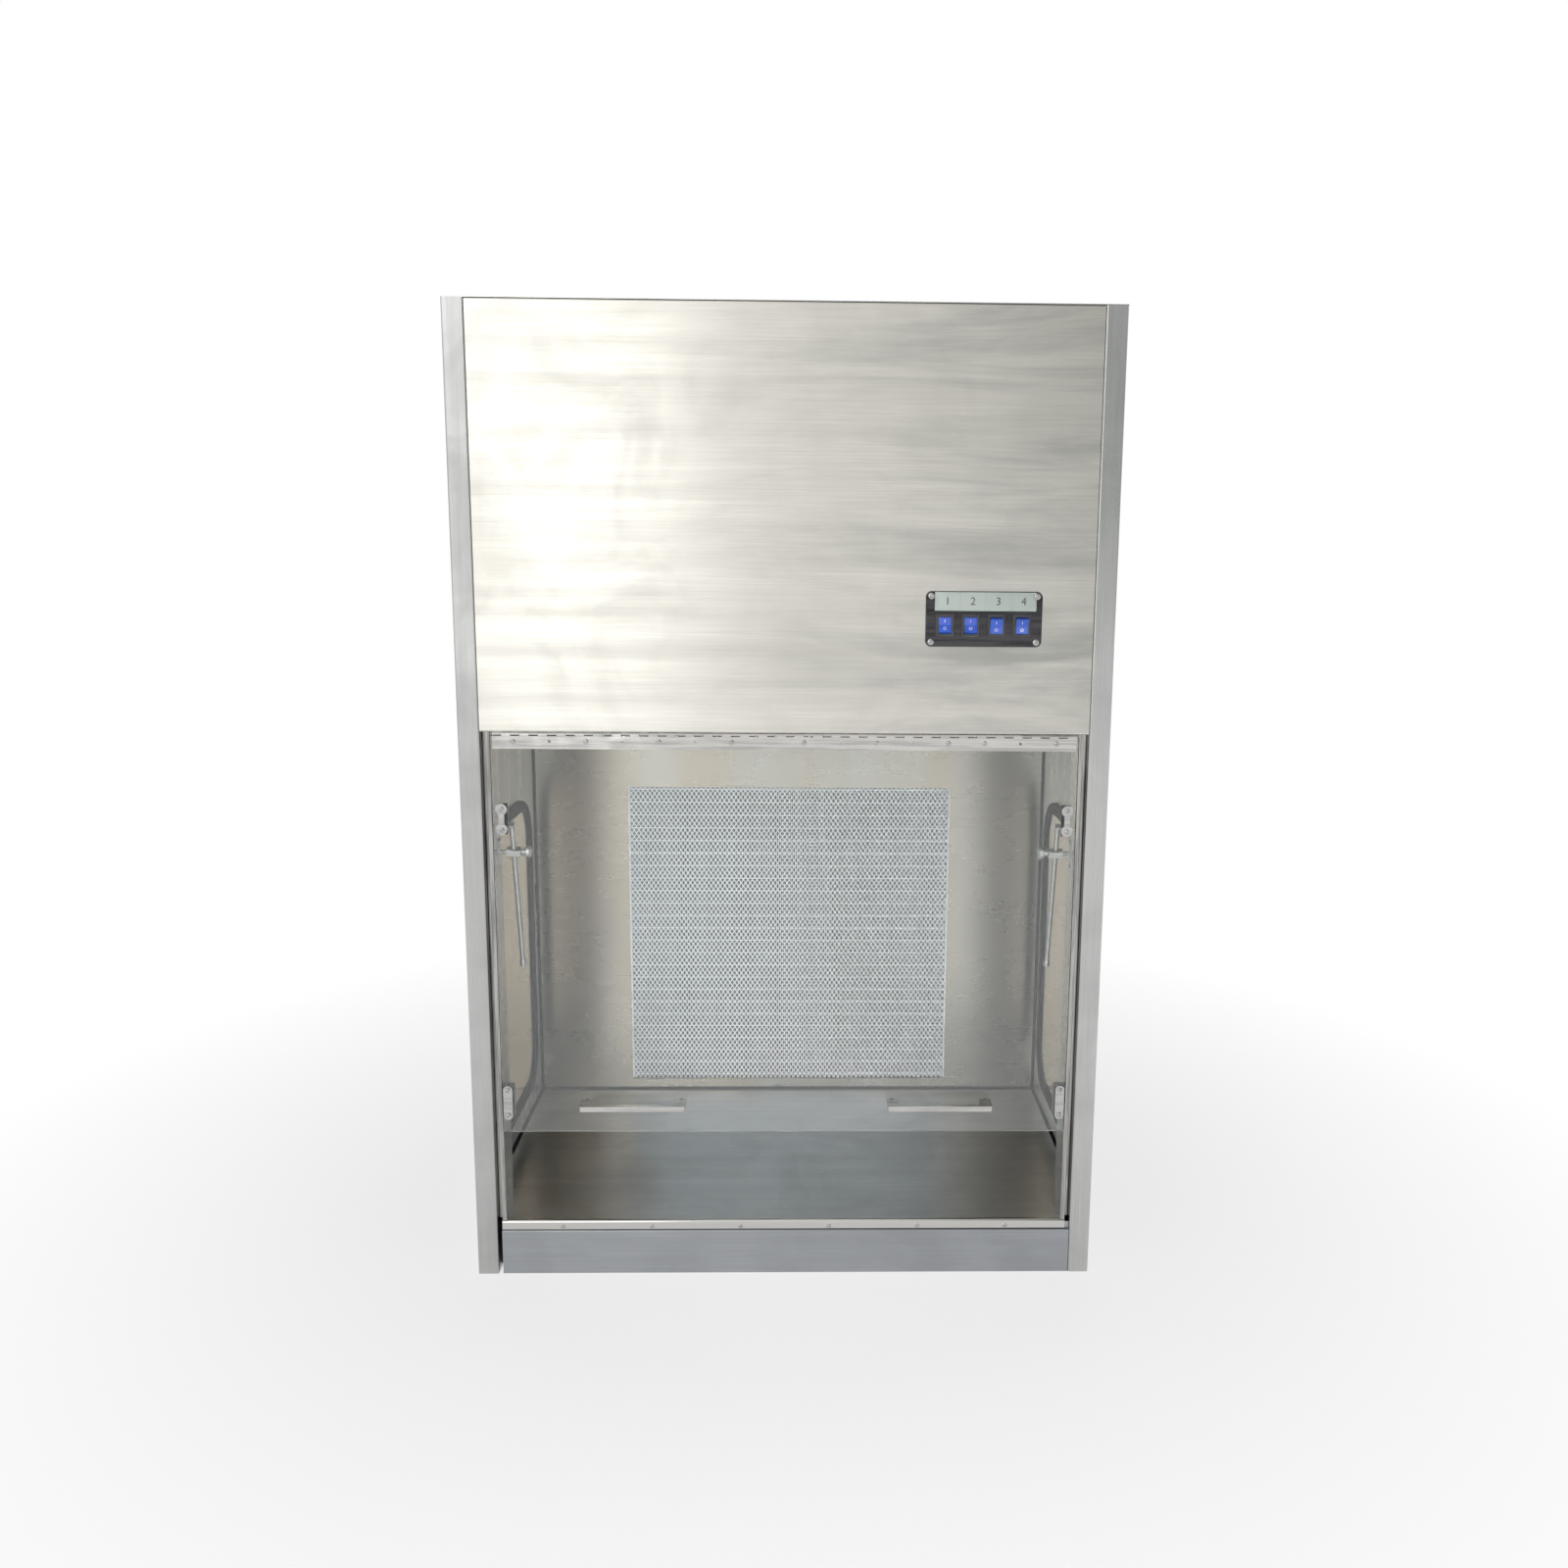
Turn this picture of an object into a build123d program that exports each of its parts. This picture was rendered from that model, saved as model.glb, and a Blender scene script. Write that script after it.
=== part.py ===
from build123d import *
import os
from math import atan2, cos, exp, hypot, pi, radians, sin, tan

# Laminar flow hood in folded stainless sheet, with a lift-up clear sash.
# Millimetres. X to the right, Y into the depth, Z up. The origin is the centre of the base.

# Cabinet
width = 900.0
depth = 700.0
height = 1374.5
sheet = 1.2
bend = 1.5
touch = 0.3

# Front posts and the jambs that frame the sash
post_face = 30.0
post_return = 28.0
jamb_sheet = 1.0
jamb_face = 7.0
jamb_gap = 6.5
jamb_setback = 3.0
jamb_step = 12.0
jamb_depth = 50.0
rear_flange = 20.0

# Levels above the base
floor_top = 82.0
plinth_top = 67.5
panel_bottom = 804.0
panel_flange = 30.0
lid_sheet = 1.2

# Work chamber
chamber_depth = 496.0
lip_setback = 3.4
lip_bend = 3.0
plinth_joggle = 4.6
plinth_upstand = 11.0
plinth_gap_left = 6.5
plinth_gap_right = 0.4
plinth_flange = 24.0
tray_lip = 25.0
bead_leg = 4.5

# Side windows
window_lean = 17 / 81
window_rise = 49.0
seal_length = 362.0
seal_height = 509.0
seal_band = 18.0
seal_radius = 70.0
seal_cover = 7.0
seal_inside = 9.0
seal_outside = 3.0
seal_chamfer = 2.5
seal_fit = 0.2
pane_bite = 7.0
window_thickness = 5.0

# Filter behind the chamber back wall
filter_opening_width = 568.0
filter_opening_height = 540.0
filter_opening_bottom = 101.5
filter_size = 610.0
filter_depth = 69.0
filter_wall = 18.0
filter_gasket_thickness = 5.0
filter_gasket_band = 16.0
guard_thickness = 1.5
guard_setback = 1.0
guard_columns = 12
guard_rows = 10
guard_strand = 9.0
pleat_count = 56
pleat_depth = 56.0
pleat_sheet = 0.8
clamp_width = 30.0
clamp_sheet = 3.0
clamp_hook = 12.0
clamp_foot = 20.0

# Piano hinge
knuckle_pitch = 12.6
hinge_end_gap = 3.3
knuckle_radius = 2.5
pin_radius = 1.25
pin_fit = 0.05
knuckle_fit = 0.2
leaf_sheet = 1.2
leaf_height = 18.0
hinge_drop = 2.6
hinge_setback = 3.5
hole_pitch = 50.0
hole_end = 25.0
hole_below_axis = 10.4

# Sash
pane_thickness = 5.0
pane_bottom = 221.0
pane_side_gap = 0.5
pane_top_gap = 3.1

# Small fasteners
screw_shank = 1.6
screw_hole = 1.9
screw_head = 3.6
screw_head_height = 2.2
nut_across = 6.0
nut_height = 2.4

# Handles
handle_length = 150.0
handle_left_inset = 188.6
handle_right_inset = 183.7
handle_reach = 27.0
handle_bar = 8.0
handle_foot = 15.0
handle_height = 7.5
handle_top = 270.0
handle_corner = 3.0
handle_taper = 3.0
handle_screw_length = 14.0

# Magnetic catches and their strike plates
strike_inset = 7.5
strike_rise = 44.3
strike_width = 13.0
strike_height = 51.5
strike_spacing = 38.0
strike_sheet = 1.5
catch_length = 46.0
catch_gap = 0.4
catch_thickness = 14.0
catch_reach = 15.0

# Sash stays
stay_inset = 20.0
stay_top_drop = 134.0
stay_block_drop = 174.4
stay_standoff = 29.0
stay_angle = 12.0
stay_length = 224.0
rod_radius = 3.75
rod_fit = 0.06
rod_cap_radius = 5.0
rod_cap_length = 10.0
block_length = 20.0
block_width = 14.0
block_height = 11.5
block_wall = 6.5
block_edge = 1.5
stud_radius = 3.0
stud_grip = 4.8
mount_sheet = 2.0
mount_length = 40.0
mount_width = 14.0
knob_radius = 9.0
knob_thickness = 6.0
knob_neck = 8.0
knob_screw = 2.5
eye_radius = 4.5
eye_reach = 7.0
bracket_inset = 12.0
bracket_width = 16.0
bracket_height = 44.0
bracket_waist = 8.0
bracket_sheet = 1.5
bracket_spacing = 30.0
bracket_lift = 14.1
tab_fit = 0.3
tab_radius = 7.0
tab_rivet_radius = 3.0
tab_rivet_head = 1.5

# Switch plate
plate_inset = 150.9
plate_rise = 158.2
plate_width = 159.0
plate_height = 75.0
plate_sheet = 1.5
plate_corner = 8.0
plate_screw_x = 72.0
plate_screw_z = 31.0
plate_screw_head = 4.6
plate_screw_length = 6.0
switch_count = 4
switch_pitch = 35.1
switch_shift = -0.6
switch_drop = 8.7
bezel_width = 25.0
bezel_height = 31.0
bezel_flange = 2.0
bezel_wall = 3.8
switch_body_depth = 24.0
body_wall = 1.2
rocker_well = 14.0
rocker_fit = 0.3
rocker_throw = 12.0
rocker_rise = 6.5
rocker_dip = 3.8
rocker_back = 3.0
rocker_pivot_setback = 1.0
trunnion_radius = 1.2
trunnion_length = 0.9
card_pitch = 34.6
card_gap = 0.2
card_height = 25.2
card_sheet = 0.6
card_shift = 1.95
card_lift = 23.8

# Blower in the upper compartment
blower_inset = 228.8
blower_rise = 203.6
scroll_start = 128.0
scroll_growth = 0.062
scroll_wall = 2.0
scroll_width = 150.0
outlet_flange = 20.0
outlet_tuck = 22.0
wheel_radius = 118.0
wheel_bore = 92.0
wheel_width = 120.0
wheel_sheet = 2.0
hub_radius = 20.0
hub_length = 34.0
hub_clearance = 2.0
hub_collar = 4.0
wheel_gap = 8.0
blade_count = 30
blade_sheet = 1.6
blade_bow = 5.0
shaft_radius = 7.0
shaft_fit = 0.06
inlet_radius = 84.0
inlet_depth = 12.0
inlet_flare = 8.0
motor_radius = 66.0
motor_length = 120.0
motor_fins = 24
motor_fin_height = 5.0

# Lamps under the chamber ceiling
tube_radius = 13.0
tube_drop = 18.0
light_setback = 110.0
light_length = 590.0
uv_setback = 210.0
uv_length = 438.0
cap_length = 14.0
holder_width = 30.0
holder_length = 16.0
holder_pin = 1.2
holder_pin_length = 6.0
holder_pin_offset = 6.35
holder_corner = 6.0

# Intake, control gear and inlet
slot_length = 130.0
slot_width = 8.0
slot_rows = 14
slot_pitch = 18.0
intake_inset = 290.0
prefilter_side = 330.0
prefilter_thickness = 20.0
tray_edge = 12.0
tray_clearance = 0.3
ballast_size = (150.0, 42.0, 30.0)
ballast_inset = 118.8
ballast_pitch = 200.0
gear_setback = 170.0
terminal_size = (110.0, 22.0, 24.0)
terminal_ways = 10
terminal_slot = 1.6
ballast_foot = 14.0
ballast_foot_sheet = 1.5
ballast_edge = 5.0
inlet_inset = 118.8
inlet_rise = 73.6
inlet_flange = (50.0, 28.0)
inlet_body = (27.4, 19.8)
inlet_socket = (23.0, 15.4)
inlet_depth_back = 22.0
inlet_pin = (2.0, 4.0, 15.0)
inlet_pin_pitch = 7.0

# Panel screws and rivets
cover_screw_rows = 6
cover_screw_inset = 12.0
cover_screw_end = 60.0
rivet_count = 6
rivet_pitch = 130.0
rivet_radius = 3.0
rivet_head = 1.2
rivet_z = 72.5

# Derived positions
front = -depth / 2
back = depth / 2
wall_inner = width / 2 - sheet
post_inner = width / 2 - post_face
jamb_outer = post_inner - jamb_gap
jamb_inner = jamb_outer - jamb_face
jamb_front = front + jamb_setback
jamb_back = jamb_front + jamb_depth
back_wall = front + chamber_depth
cover_front = back - sheet
lid_bottom = height - lid_sheet
shelf_bottom = panel_bottom + sheet
shelf_top = shelf_bottom + sheet
hinge_y = front + hinge_setback
hinge_z = panel_bottom - hinge_drop
leaf_front = hinge_y - knuckle_radius
pane_front = leaf_front + leaf_sheet
pane_back = pane_front + pane_thickness
pane_top = hinge_z - pane_top_gap
pane_half = jamb_inner - pane_side_gap
filter_z = filter_opening_bottom + filter_opening_height / 2
filter_front = back_wall + sheet + filter_gasket_thickness
filter_back = filter_front + filter_depth
hinge_length = 2 * (jamb_inner - hinge_end_gap)
knuckle_count = 2 * round(hinge_length / knuckle_pitch / 2)
hole_count = int((hinge_length - 2 * hole_end) / hole_pitch) + 1
screw_positions = list(range(0, hole_count - 3, 2)) + [hole_count - 3, hole_count - 1]
window_room = back_wall - jamb_back
window_y = jamb_back + window_lean * (window_room - seal_length) + seal_length / 2
window_z = floor_top + window_rise + seal_height / 2
handle_left = handle_left_inset - pane_half
handle_right = pane_half - handle_right_inset
strike_x = pane_half - strike_inset
strike_z = pane_bottom + strike_rise
bracket_x = pane_half - bracket_inset
stay_x = jamb_inner - stay_inset
stay_top_z = hinge_z - stay_top_drop
stay_block_z = hinge_z - stay_block_drop
bracket_z = stay_top_z + bracket_lift
plate_x = post_inner - plate_inset
plate_z = panel_bottom + plate_rise
switch_x = plate_x + switch_shift
rocker_z = plate_z - switch_drop
card_x = plate_x + card_shift
card_z = plate_z + card_lift
blower_y = cover_front - blower_inset
blower_z = shelf_top + blower_rise
light_y = front + light_setback
uv_y = front + uv_setback
intake_y = back - intake_inset
gear_y = front + gear_setback
inlet_x = inlet_inset - wall_inner
inlet_z = shelf_top + inlet_rise
stay_top_y = hinge_y + stay_standoff
stay_block_y = stay_top_y + (stay_top_z - stay_block_z) * tan(radians(stay_angle))


def span(x, y, z):
    """A rectangular solid between two limits on each axis."""
    size = [abs(b - a) for a, b in (x, y, z)]
    middle = [(a + b) / 2 for a, b in (x, y, z)]
    return Pos(*middle) * Box(*size)


def bar_x(radius, x0, x1, y, z):
    """A round bar along X."""
    return extrude(Plane.YZ.offset(min(x0, x1)) * Pos(y, z) * Circle(radius), abs(x1 - x0))


def bar_y(radius, y0, y1, x, z):
    """A round bar along Y."""
    return extrude(Plane.XZ.offset(-max(y0, y1)) * Pos(x, z) * Circle(radius), abs(y1 - y0))


def mirrored(part):
    """The same piece on the other side of the cabinet."""
    return mirror(part, about=Plane.YZ)


def offset_line(points, distance):
    """Corner points of a parallel line, on the left of the given line for a positive distance."""
    shifted = []
    for i, (x, y) in enumerate(points):
        normals = []
        if i > 0:
            dx, dy = x - points[i - 1][0], y - points[i - 1][1]
            normals.append((-dy / hypot(dx, dy), dx / hypot(dx, dy)))
        if i < len(points) - 1:
            dx, dy = points[i + 1][0] - x, points[i + 1][1] - y
            normals.append((-dy / hypot(dx, dy), dx / hypot(dx, dy)))
        nx = sum(n[0] for n in normals) / len(normals)
        ny = sum(n[1] for n in normals) / len(normals)
        scale = distance / (nx * nx + ny * ny)
        shifted.append((x + nx * scale, y + ny * scale))
    return shifted


def folded(points, thickness, inner_radius):
    """Section of a folded sheet: its middle line through the points, with rounded bends."""
    sides = []
    for side in (0.5, -0.5):
        corners = offset_line(points, side * thickness)
        radii = []
        for i in range(1, len(points) - 1):
            ax, ay = points[i][0] - points[i - 1][0], points[i][1] - points[i - 1][1]
            bx, by = points[i + 1][0] - points[i][0], points[i + 1][1] - points[i][1]
            inside = (ax * by - ay * bx) * side > 0
            radii.append(inner_radius if inside else inner_radius + thickness)
        if radii:
            sides.append((corners, FilletPolyline(*corners, radius=radii)))
        else:
            sides.append((corners, Polyline(*corners)))
    (left, left_line), (right, right_line) = sides
    start = Line(left[0], right[0])
    end = Line(left[-1], right[-1])
    return make_face(Curve() + [left_line, right_line, start, end])


def pan_screw(x, y, z, length, head=screw_head, shank=screw_shank):
    """A pan-head screw along Y with its head towards the front, its seat at y."""
    profile = Polyline((0, 0), (head, 0), (head, 0.35 * head), (0.62 * head, screw_head_height),
                       (0, screw_head_height), (0, 0))
    dome = revolve(Plane.XZ * make_face(profile), Axis.Z)
    screw = dome + Pos(0, 0, -length / 2) * Cylinder(shank, length)
    return Pos(x, y, z) * (Rot(90, 0, 0) * screw)


def nut(x, y, z):
    """A hexagon nut along Y that starts at y, bored clear of its screw."""
    section = RegularPolygon(nut_across / 2, 6) - Circle(screw_shank + rod_fit)
    return extrude(Plane.XZ.offset(-(y + nut_height)) * Pos(x, z) * section, nut_height)


def window_ring(length, high, radius, inset):
    """A rounded rectangle drawn in from the seal's outline."""
    return RectangleRounded(length - 2 * inset, high - 2 * inset, radius - inset)


def on_window(face, x, amount):
    """A window shape set on the right-hand wall and made thick outwards."""
    return extrude(Plane.YZ.offset(x) * Pos(window_y, window_z) * face, amount)


def side_panel():
    """Side wall, front post and rear flange, folded from one sheet and cut for its window."""
    wall = width / 2 - sheet / 2
    face = front + sheet / 2
    heel = cover_front - sheet / 2
    inner = post_inner + sheet / 2
    line = [(wall - rear_flange, heel), (wall, heel), (wall, face), (inner, face),
            (inner, face + post_return)]
    panel = extrude(folded(line, sheet, bend), lid_bottom)
    opening = window_ring(seal_length, seal_height, seal_radius, seal_cover)
    panel -= on_window(opening, wall_inner - sheet, 3 * sheet)
    radius = screw_hole
    for z in cover_screw_levels():
        panel -= bar_y(radius, heel - sheet, heel + sheet, width / 2 - cover_screw_inset, z)
    return panel


def cover_screw_levels():
    """Heights of the rear cover's screws."""
    step = (height - 2 * cover_screw_end) / (cover_screw_rows - 1)
    return [cover_screw_end + i * step for i in range(cover_screw_rows)]


def window_seal():
    """Rubber profile with one groove for the wall and one for the glass."""
    ring = window_ring(seal_length, seal_height, seal_radius, 0)
    ring -= window_ring(seal_length, seal_height, seal_radius, seal_band)
    inner_face = wall_inner - seal_inside
    seal = on_window(ring, inner_face, seal_inside + sheet + seal_outside)
    for x in (inner_face, width / 2 + seal_outside):
        rim = seal.edges().filter_by_position(Axis.X, x - 0.01, x + 0.01)
        seal = chamfer(rim, seal_chamfer if x == inner_face else seal_outside / 3)
    groove = window_ring(seal_length, seal_height, seal_radius, -1)
    groove -= window_ring(seal_length, seal_height, seal_radius, seal_cover + seal_fit)
    seal -= on_window(groove, wall_inner, sheet)
    slot = window_ring(seal_length, seal_height, seal_radius, seal_band - pane_bite - seal_fit)
    return seal - on_window(slot, window_x() - seal_fit / 2, window_thickness + seal_fit)


def window_x():
    """Inner face of the window glass."""
    return wall_inner - window_thickness - seal_fit / 2


def window_glass():
    """Side window pane."""
    face = window_ring(seal_length, seal_height, seal_radius, seal_band - pane_bite)
    return on_window(face, window_x(), window_thickness)


def upper_front_panel():
    """Front panel between the posts, folded back at its top and bottom."""
    low = panel_bottom + sheet / 2
    high = lid_bottom - sheet / 2
    face = front + sheet / 2
    line = [(face + panel_flange, low), (face, low), (face, high), (face + panel_flange, high)]
    half = post_inner - touch
    panel = extrude(Plane.YZ.offset(-half) * folded(line, sheet, bend), 2 * half)
    cut = (switch_count - 1) * switch_pitch / 2 + bezel_width / 2
    tall = bezel_height / 2
    panel -= span((switch_x - cut, switch_x + cut), (front - 1, front + 2 * sheet),
                  (rocker_z - tall, rocker_z + tall))
    for x, z in plate_screw_places():
        panel -= bar_y(screw_hole, front - 1, front + 2 * sheet, x, z)
    return panel


def top_cover():
    """Lid with two rows of intake slots over the prefilter."""
    lid = span((-width / 2, width / 2), (front, back), (lid_bottom, height))
    slots = Sketch()
    for row in range(slot_rows):
        y = intake_y + (row - (slot_rows - 1) / 2) * slot_pitch
        for side in (-1, 1):
            slots += Pos(side * (slot_length / 2 + slot_width), y) * SlotOverall(slot_length, slot_width)
    return lid - extrude(Pos(0, 0, lid_bottom - 1) * slots, lid_sheet + 2)


def prefilter():
    """Fibre pad under the intake slots."""
    half = prefilter_side / 2
    top = lid_bottom - tray_clearance
    return span((-half, half), (intake_y - half, intake_y + half), (top - prefilter_thickness, top))


def prefilter_tray():
    """Folded rails that carry the prefilter under the lid."""
    low = lid_bottom - tray_clearance - prefilter_thickness - sheet / 2
    inside = prefilter_side / 2 + tray_clearance + sheet / 2
    line = [(inside - tray_edge, low), (inside, low), (inside, lid_bottom - sheet / 2),
            (inside + tray_edge, lid_bottom - sheet / 2)]
    rail = extrude(Plane.XZ.offset(-(intake_y + prefilter_side / 2)) * folded(line, sheet, touch),
                   prefilter_side)
    stop = span((-inside, inside), (intake_y + prefilter_side / 2 + tray_clearance,
                intake_y + prefilter_side / 2 + tray_clearance + sheet), (low, lid_bottom))
    return [rail, mirrored(rail), stop]


def rear_cover():
    """Flat rear cover with its screw holes and the power inlet's cut-out."""
    half = width / 2 - touch
    cover = span((-half, half), (cover_front, back), (touch, lid_bottom - touch))
    for z in cover_screw_levels():
        for side in (-1, 1):
            cover -= bar_y(screw_hole, cover_front - 1, back + 1,
                           side * (width / 2 - cover_screw_inset), z)
    wide, tall = inlet_body[0] / 2, inlet_body[1] / 2
    return cover - span((inlet_x - wide, inlet_x + wide), (cover_front - 1, back + 1),
                        (inlet_z - tall, inlet_z + tall))


def rear_cover_screws():
    """Pan-head screws down both edges of the rear cover."""
    screws = []
    for z in cover_screw_levels():
        for side in (-1, 1):
            screw = pan_screw(0, 0, 0, 3 * sheet)
            screws.append(Pos(side * (width / 2 - cover_screw_inset), back, z) * (Rot(0, 0, 180) * screw))
    return screws


def rear_limit():
    """Depth that inner sheets reach, clear of the rear flange's bend."""
    return cover_front - sheet - bend - touch


def base_pan():
    """Shallow tray that closes the bottom of the cabinet."""
    edge = wall_inner - sheet / 2
    line = [(-edge, tray_lip), (-edge, sheet / 2), (edge, sheet / 2), (edge, tray_lip)]
    start = front + sheet + post_return + touch
    end = rear_limit()
    return extrude(Plane.XZ.offset(-end) * folded(line, sheet, bend), end - start)


def plinth_panel():
    """Front plinth, folded back under and joggled back at its top behind the sill lip."""
    face = front + sheet / 2
    ledge = plinth_top - sheet / 2
    line = [(face + plinth_flange, sheet / 2), (face, sheet / 2), (face, ledge),
            (face + plinth_joggle, ledge), (face + plinth_joggle, ledge + plinth_upstand)]
    left = -(post_inner - plinth_gap_left)
    right = post_inner - plinth_gap_right
    return extrude(Plane.YZ.offset(left) * folded(line, sheet, touch), right - left)


def work_surface():
    """Work surface with its front edge folded down over the plinth."""
    face = front + lip_setback + sheet / 2
    level = floor_top - sheet / 2
    line = [(back_wall, level), (face, level), (face, plinth_top + 2 * touch)]
    top = extrude(Plane.YZ.offset(-wall_inner) * folded(line, sheet, lip_bend), 2 * wall_inner)
    for side in (-1, 1):
        top -= span((side * jamb_outer, side * width / 2), (front, front + sheet + post_return + touch),
                    (0, floor_top + 1))
    return top


def sill_rivets():
    """Dome rivets through the sill lip into the plinth."""
    seat = front + lip_setback
    rivets = []
    for i in range(rivet_count):
        x = (i - (rivet_count - 1) / 2) * rivet_pitch
        profile = Polyline((0, 0), (rivet_radius, 0), (0.6 * rivet_radius, rivet_head), (0, rivet_head),
                           (0, 0))
        rivet = revolve(Plane.XZ * make_face(profile), Axis.Z)
        rivets.append(Pos(x, seat, rivet_z) * (Rot(90, 0, 0) * rivet))
    return rivets


def chamber_back_wall():
    """Back wall of the chamber, cut for the filter's face."""
    wall = span((-wall_inner, wall_inner), (back_wall, back_wall + sheet), (sheet, shelf_bottom))
    half = filter_opening_width / 2
    wall -= span((-half, half), (back_wall - 1, back_wall + sheet + 1),
                 (filter_opening_bottom, filter_opening_bottom + filter_opening_height))
    notch = wall_inner - sheet - bend
    for side in (-1, 1):
        wall -= span((side * notch, side * width / 2), (back_wall - 1, back_wall + sheet + 1),
                     (0, tray_lip + touch))
    return wall


def service_shelf():
    """Chamber ceiling that carries the blower, open under the blower's outlet."""
    shelf = span((-wall_inner, wall_inner), (front + sheet + bend + touch, rear_limit()),
                 (shelf_bottom, shelf_top))
    near, far = outlet_limits()
    half = scroll_width / 2 - scroll_wall
    shelf -= span((-half, half), (near, far), (shelf_bottom - 1, shelf_top + 1))
    for side in (-1, 1):
        shelf -= span((side * post_inner, side * width / 2), (front, front + sheet + post_return + touch),
                      (shelf_bottom - 1, shelf_top + 1))
    return shelf


def jamb():
    """Folded strip beside the sash, from the post's return to the side wall."""
    half = jamb_sheet / 2
    line = [(post_inner - half, front + post_return), (post_inner - half, jamb_front + jamb_step),
            (jamb_outer - half, jamb_front + jamb_step), (jamb_outer - half, jamb_front + half),
            (jamb_inner + half, jamb_front + half), (jamb_inner + half, jamb_back),
            (wall_inner, jamb_back)]
    strip = extrude(Pos(0, 0, floor_top) * folded(line, jamb_sheet, jamb_sheet / 2),
                    panel_bottom - floor_top)
    return strip


def chamber_sealant():
    """Black bead in the floor's corners and the back corners."""
    leg = bead_leg
    bead = make_face(Polyline((0, 0), (leg, 0), (0, leg), (0, 0)))
    corner = (-wall_inner, back_wall, floor_top)
    side = extrude(Plane(origin=corner, x_dir=(1, 0, 0), z_dir=(0, -1, 0)) * bead,
                   back_wall - jamb_back - jamb_sheet)
    across = extrude(Plane(origin=(wall_inner, back_wall, floor_top), x_dir=(0, -1, 0), z_dir=(-1, 0, 0))
                     * bead, 2 * wall_inner)
    upright = extrude(Plane(origin=corner, x_dir=(0, -1, 0), z_dir=(0, 0, 1)) * bead,
                      shelf_bottom - floor_top)
    return side + mirrored(side) + across + upright + mirrored(upright)


def hepa_frame():
    """Square frame of the filter."""
    outer = filter_size / 2
    inner = outer - filter_wall
    frame = span((-outer, outer), (filter_front, filter_back), (filter_z - outer, filter_z + outer))
    return frame - span((-inner, inner), (filter_front - 1, filter_back + 1),
                        (filter_z - inner, filter_z + inner))


def filter_gasket():
    """Flat rubber ring between the filter's frame and the back wall."""
    outer = filter_size / 2
    inner = outer - filter_gasket_band
    ring = span((-outer, outer), (back_wall + sheet, filter_front), (filter_z - outer, filter_z + outer))
    return ring - span((-inner, inner), (back_wall, filter_front + 1), (filter_z - inner, filter_z + inner))


def filter_guard():
    """Expanded sheet over the filter's face: lozenge openings between crossing strands."""
    half = filter_size / 2 - filter_wall
    face = Rectangle(2 * half, 2 * half)
    wide = 2 * half / guard_columns
    tall = 2 * half / guard_rows
    holes = []
    for row in range(guard_rows):
        for column in range(guard_columns):
            x = (column - (guard_columns - 1) / 2) * wide
            z = (row - (guard_rows - 1) / 2) * tall
            w, h = wide / 2 - guard_strand / 2, tall / 2 - guard_strand / 2
            outline = Polyline((x - w, z), (x, z - h), (x + w, z), (x, z + h), (x - w, z))
            holes.append(make_face(outline))
    y = filter_front + guard_setback
    sheet_face = face - holes
    return extrude(Plane.XZ.offset(-(y + guard_thickness)) * Pos(0, filter_z) * sheet_face, guard_thickness)


def hepa_media():
    """Pleated paper pack, one zigzag sheet from top to bottom of the frame."""
    half = filter_size / 2 - filter_wall
    near = filter_front + guard_setback + guard_thickness + touch + pleat_sheet
    far = near + pleat_depth
    step = 2 * half / pleat_count
    ridge = []
    for i in range(pleat_count + 1):
        ridge.append((-half + i * step, near if i % 2 else far))
    lower = [(x, y - pleat_sheet) for x, y in ridge]
    outline = Polyline(*ridge, *reversed(lower), close=True)
    return extrude(Pos(0, 0, filter_z - half) * make_face(outline), 2 * half)


def filter_clamps():
    """Z-shaped clamps that pull the filter's frame on to its gasket."""
    outer = filter_size / 2
    half = clamp_sheet / 2
    edge = outer + touch + half
    line = [(edge + clamp_foot, back_wall + sheet + half), (edge, back_wall + sheet + half),
            (edge, filter_back + half), (edge - clamp_hook, filter_back + half)]
    clamp = extrude(Pos(0, 0, -clamp_width / 2) * folded(line, clamp_sheet, touch), clamp_width)
    clamps = []
    for level in (-1, 1):
        for side in (0, 1):
            placed = Pos(0, 0, filter_z + level * filter_size / 4) * clamp
            clamps.append(mirrored(placed) if side else placed)
    return clamps


def scroll_radius(turn):
    """Radius of the scroll's spiral after a turn in radians from its cut-off."""
    return scroll_start * exp(scroll_growth * turn)


def outlet_limits():
    """Near and far inner faces of the blower's outlet, in depth."""
    return blower_y + wheel_radius - outlet_tuck, blower_y + scroll_radius(1.5 * pi)


def scroll_face(grow):
    """Side outline of the blower: a growing spiral that runs down into the outlet."""
    near, far = outlet_limits()
    steps = 10
    points = []
    for i in range(steps + 1):
        turn = 1.5 * pi * i / steps
        # The spiral starts under the wheel, rises at the front and comes down behind.
        angle = -pi / 2 - turn
        radius = scroll_radius(turn) + grow
        points.append((blower_y + radius * cos(angle), blower_z + radius * sin(angle)))
    foot = shelf_top
    spiral = Spline(*points)
    heel = (near - grow, points[0][1])
    outline = [spiral, Line(points[-1], (far + grow, foot)), Line((far + grow, foot), (near - grow, foot)),
               Line((near - grow, foot), heel), Line(heel, points[0])]
    return make_face(Curve() + outline)


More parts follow.
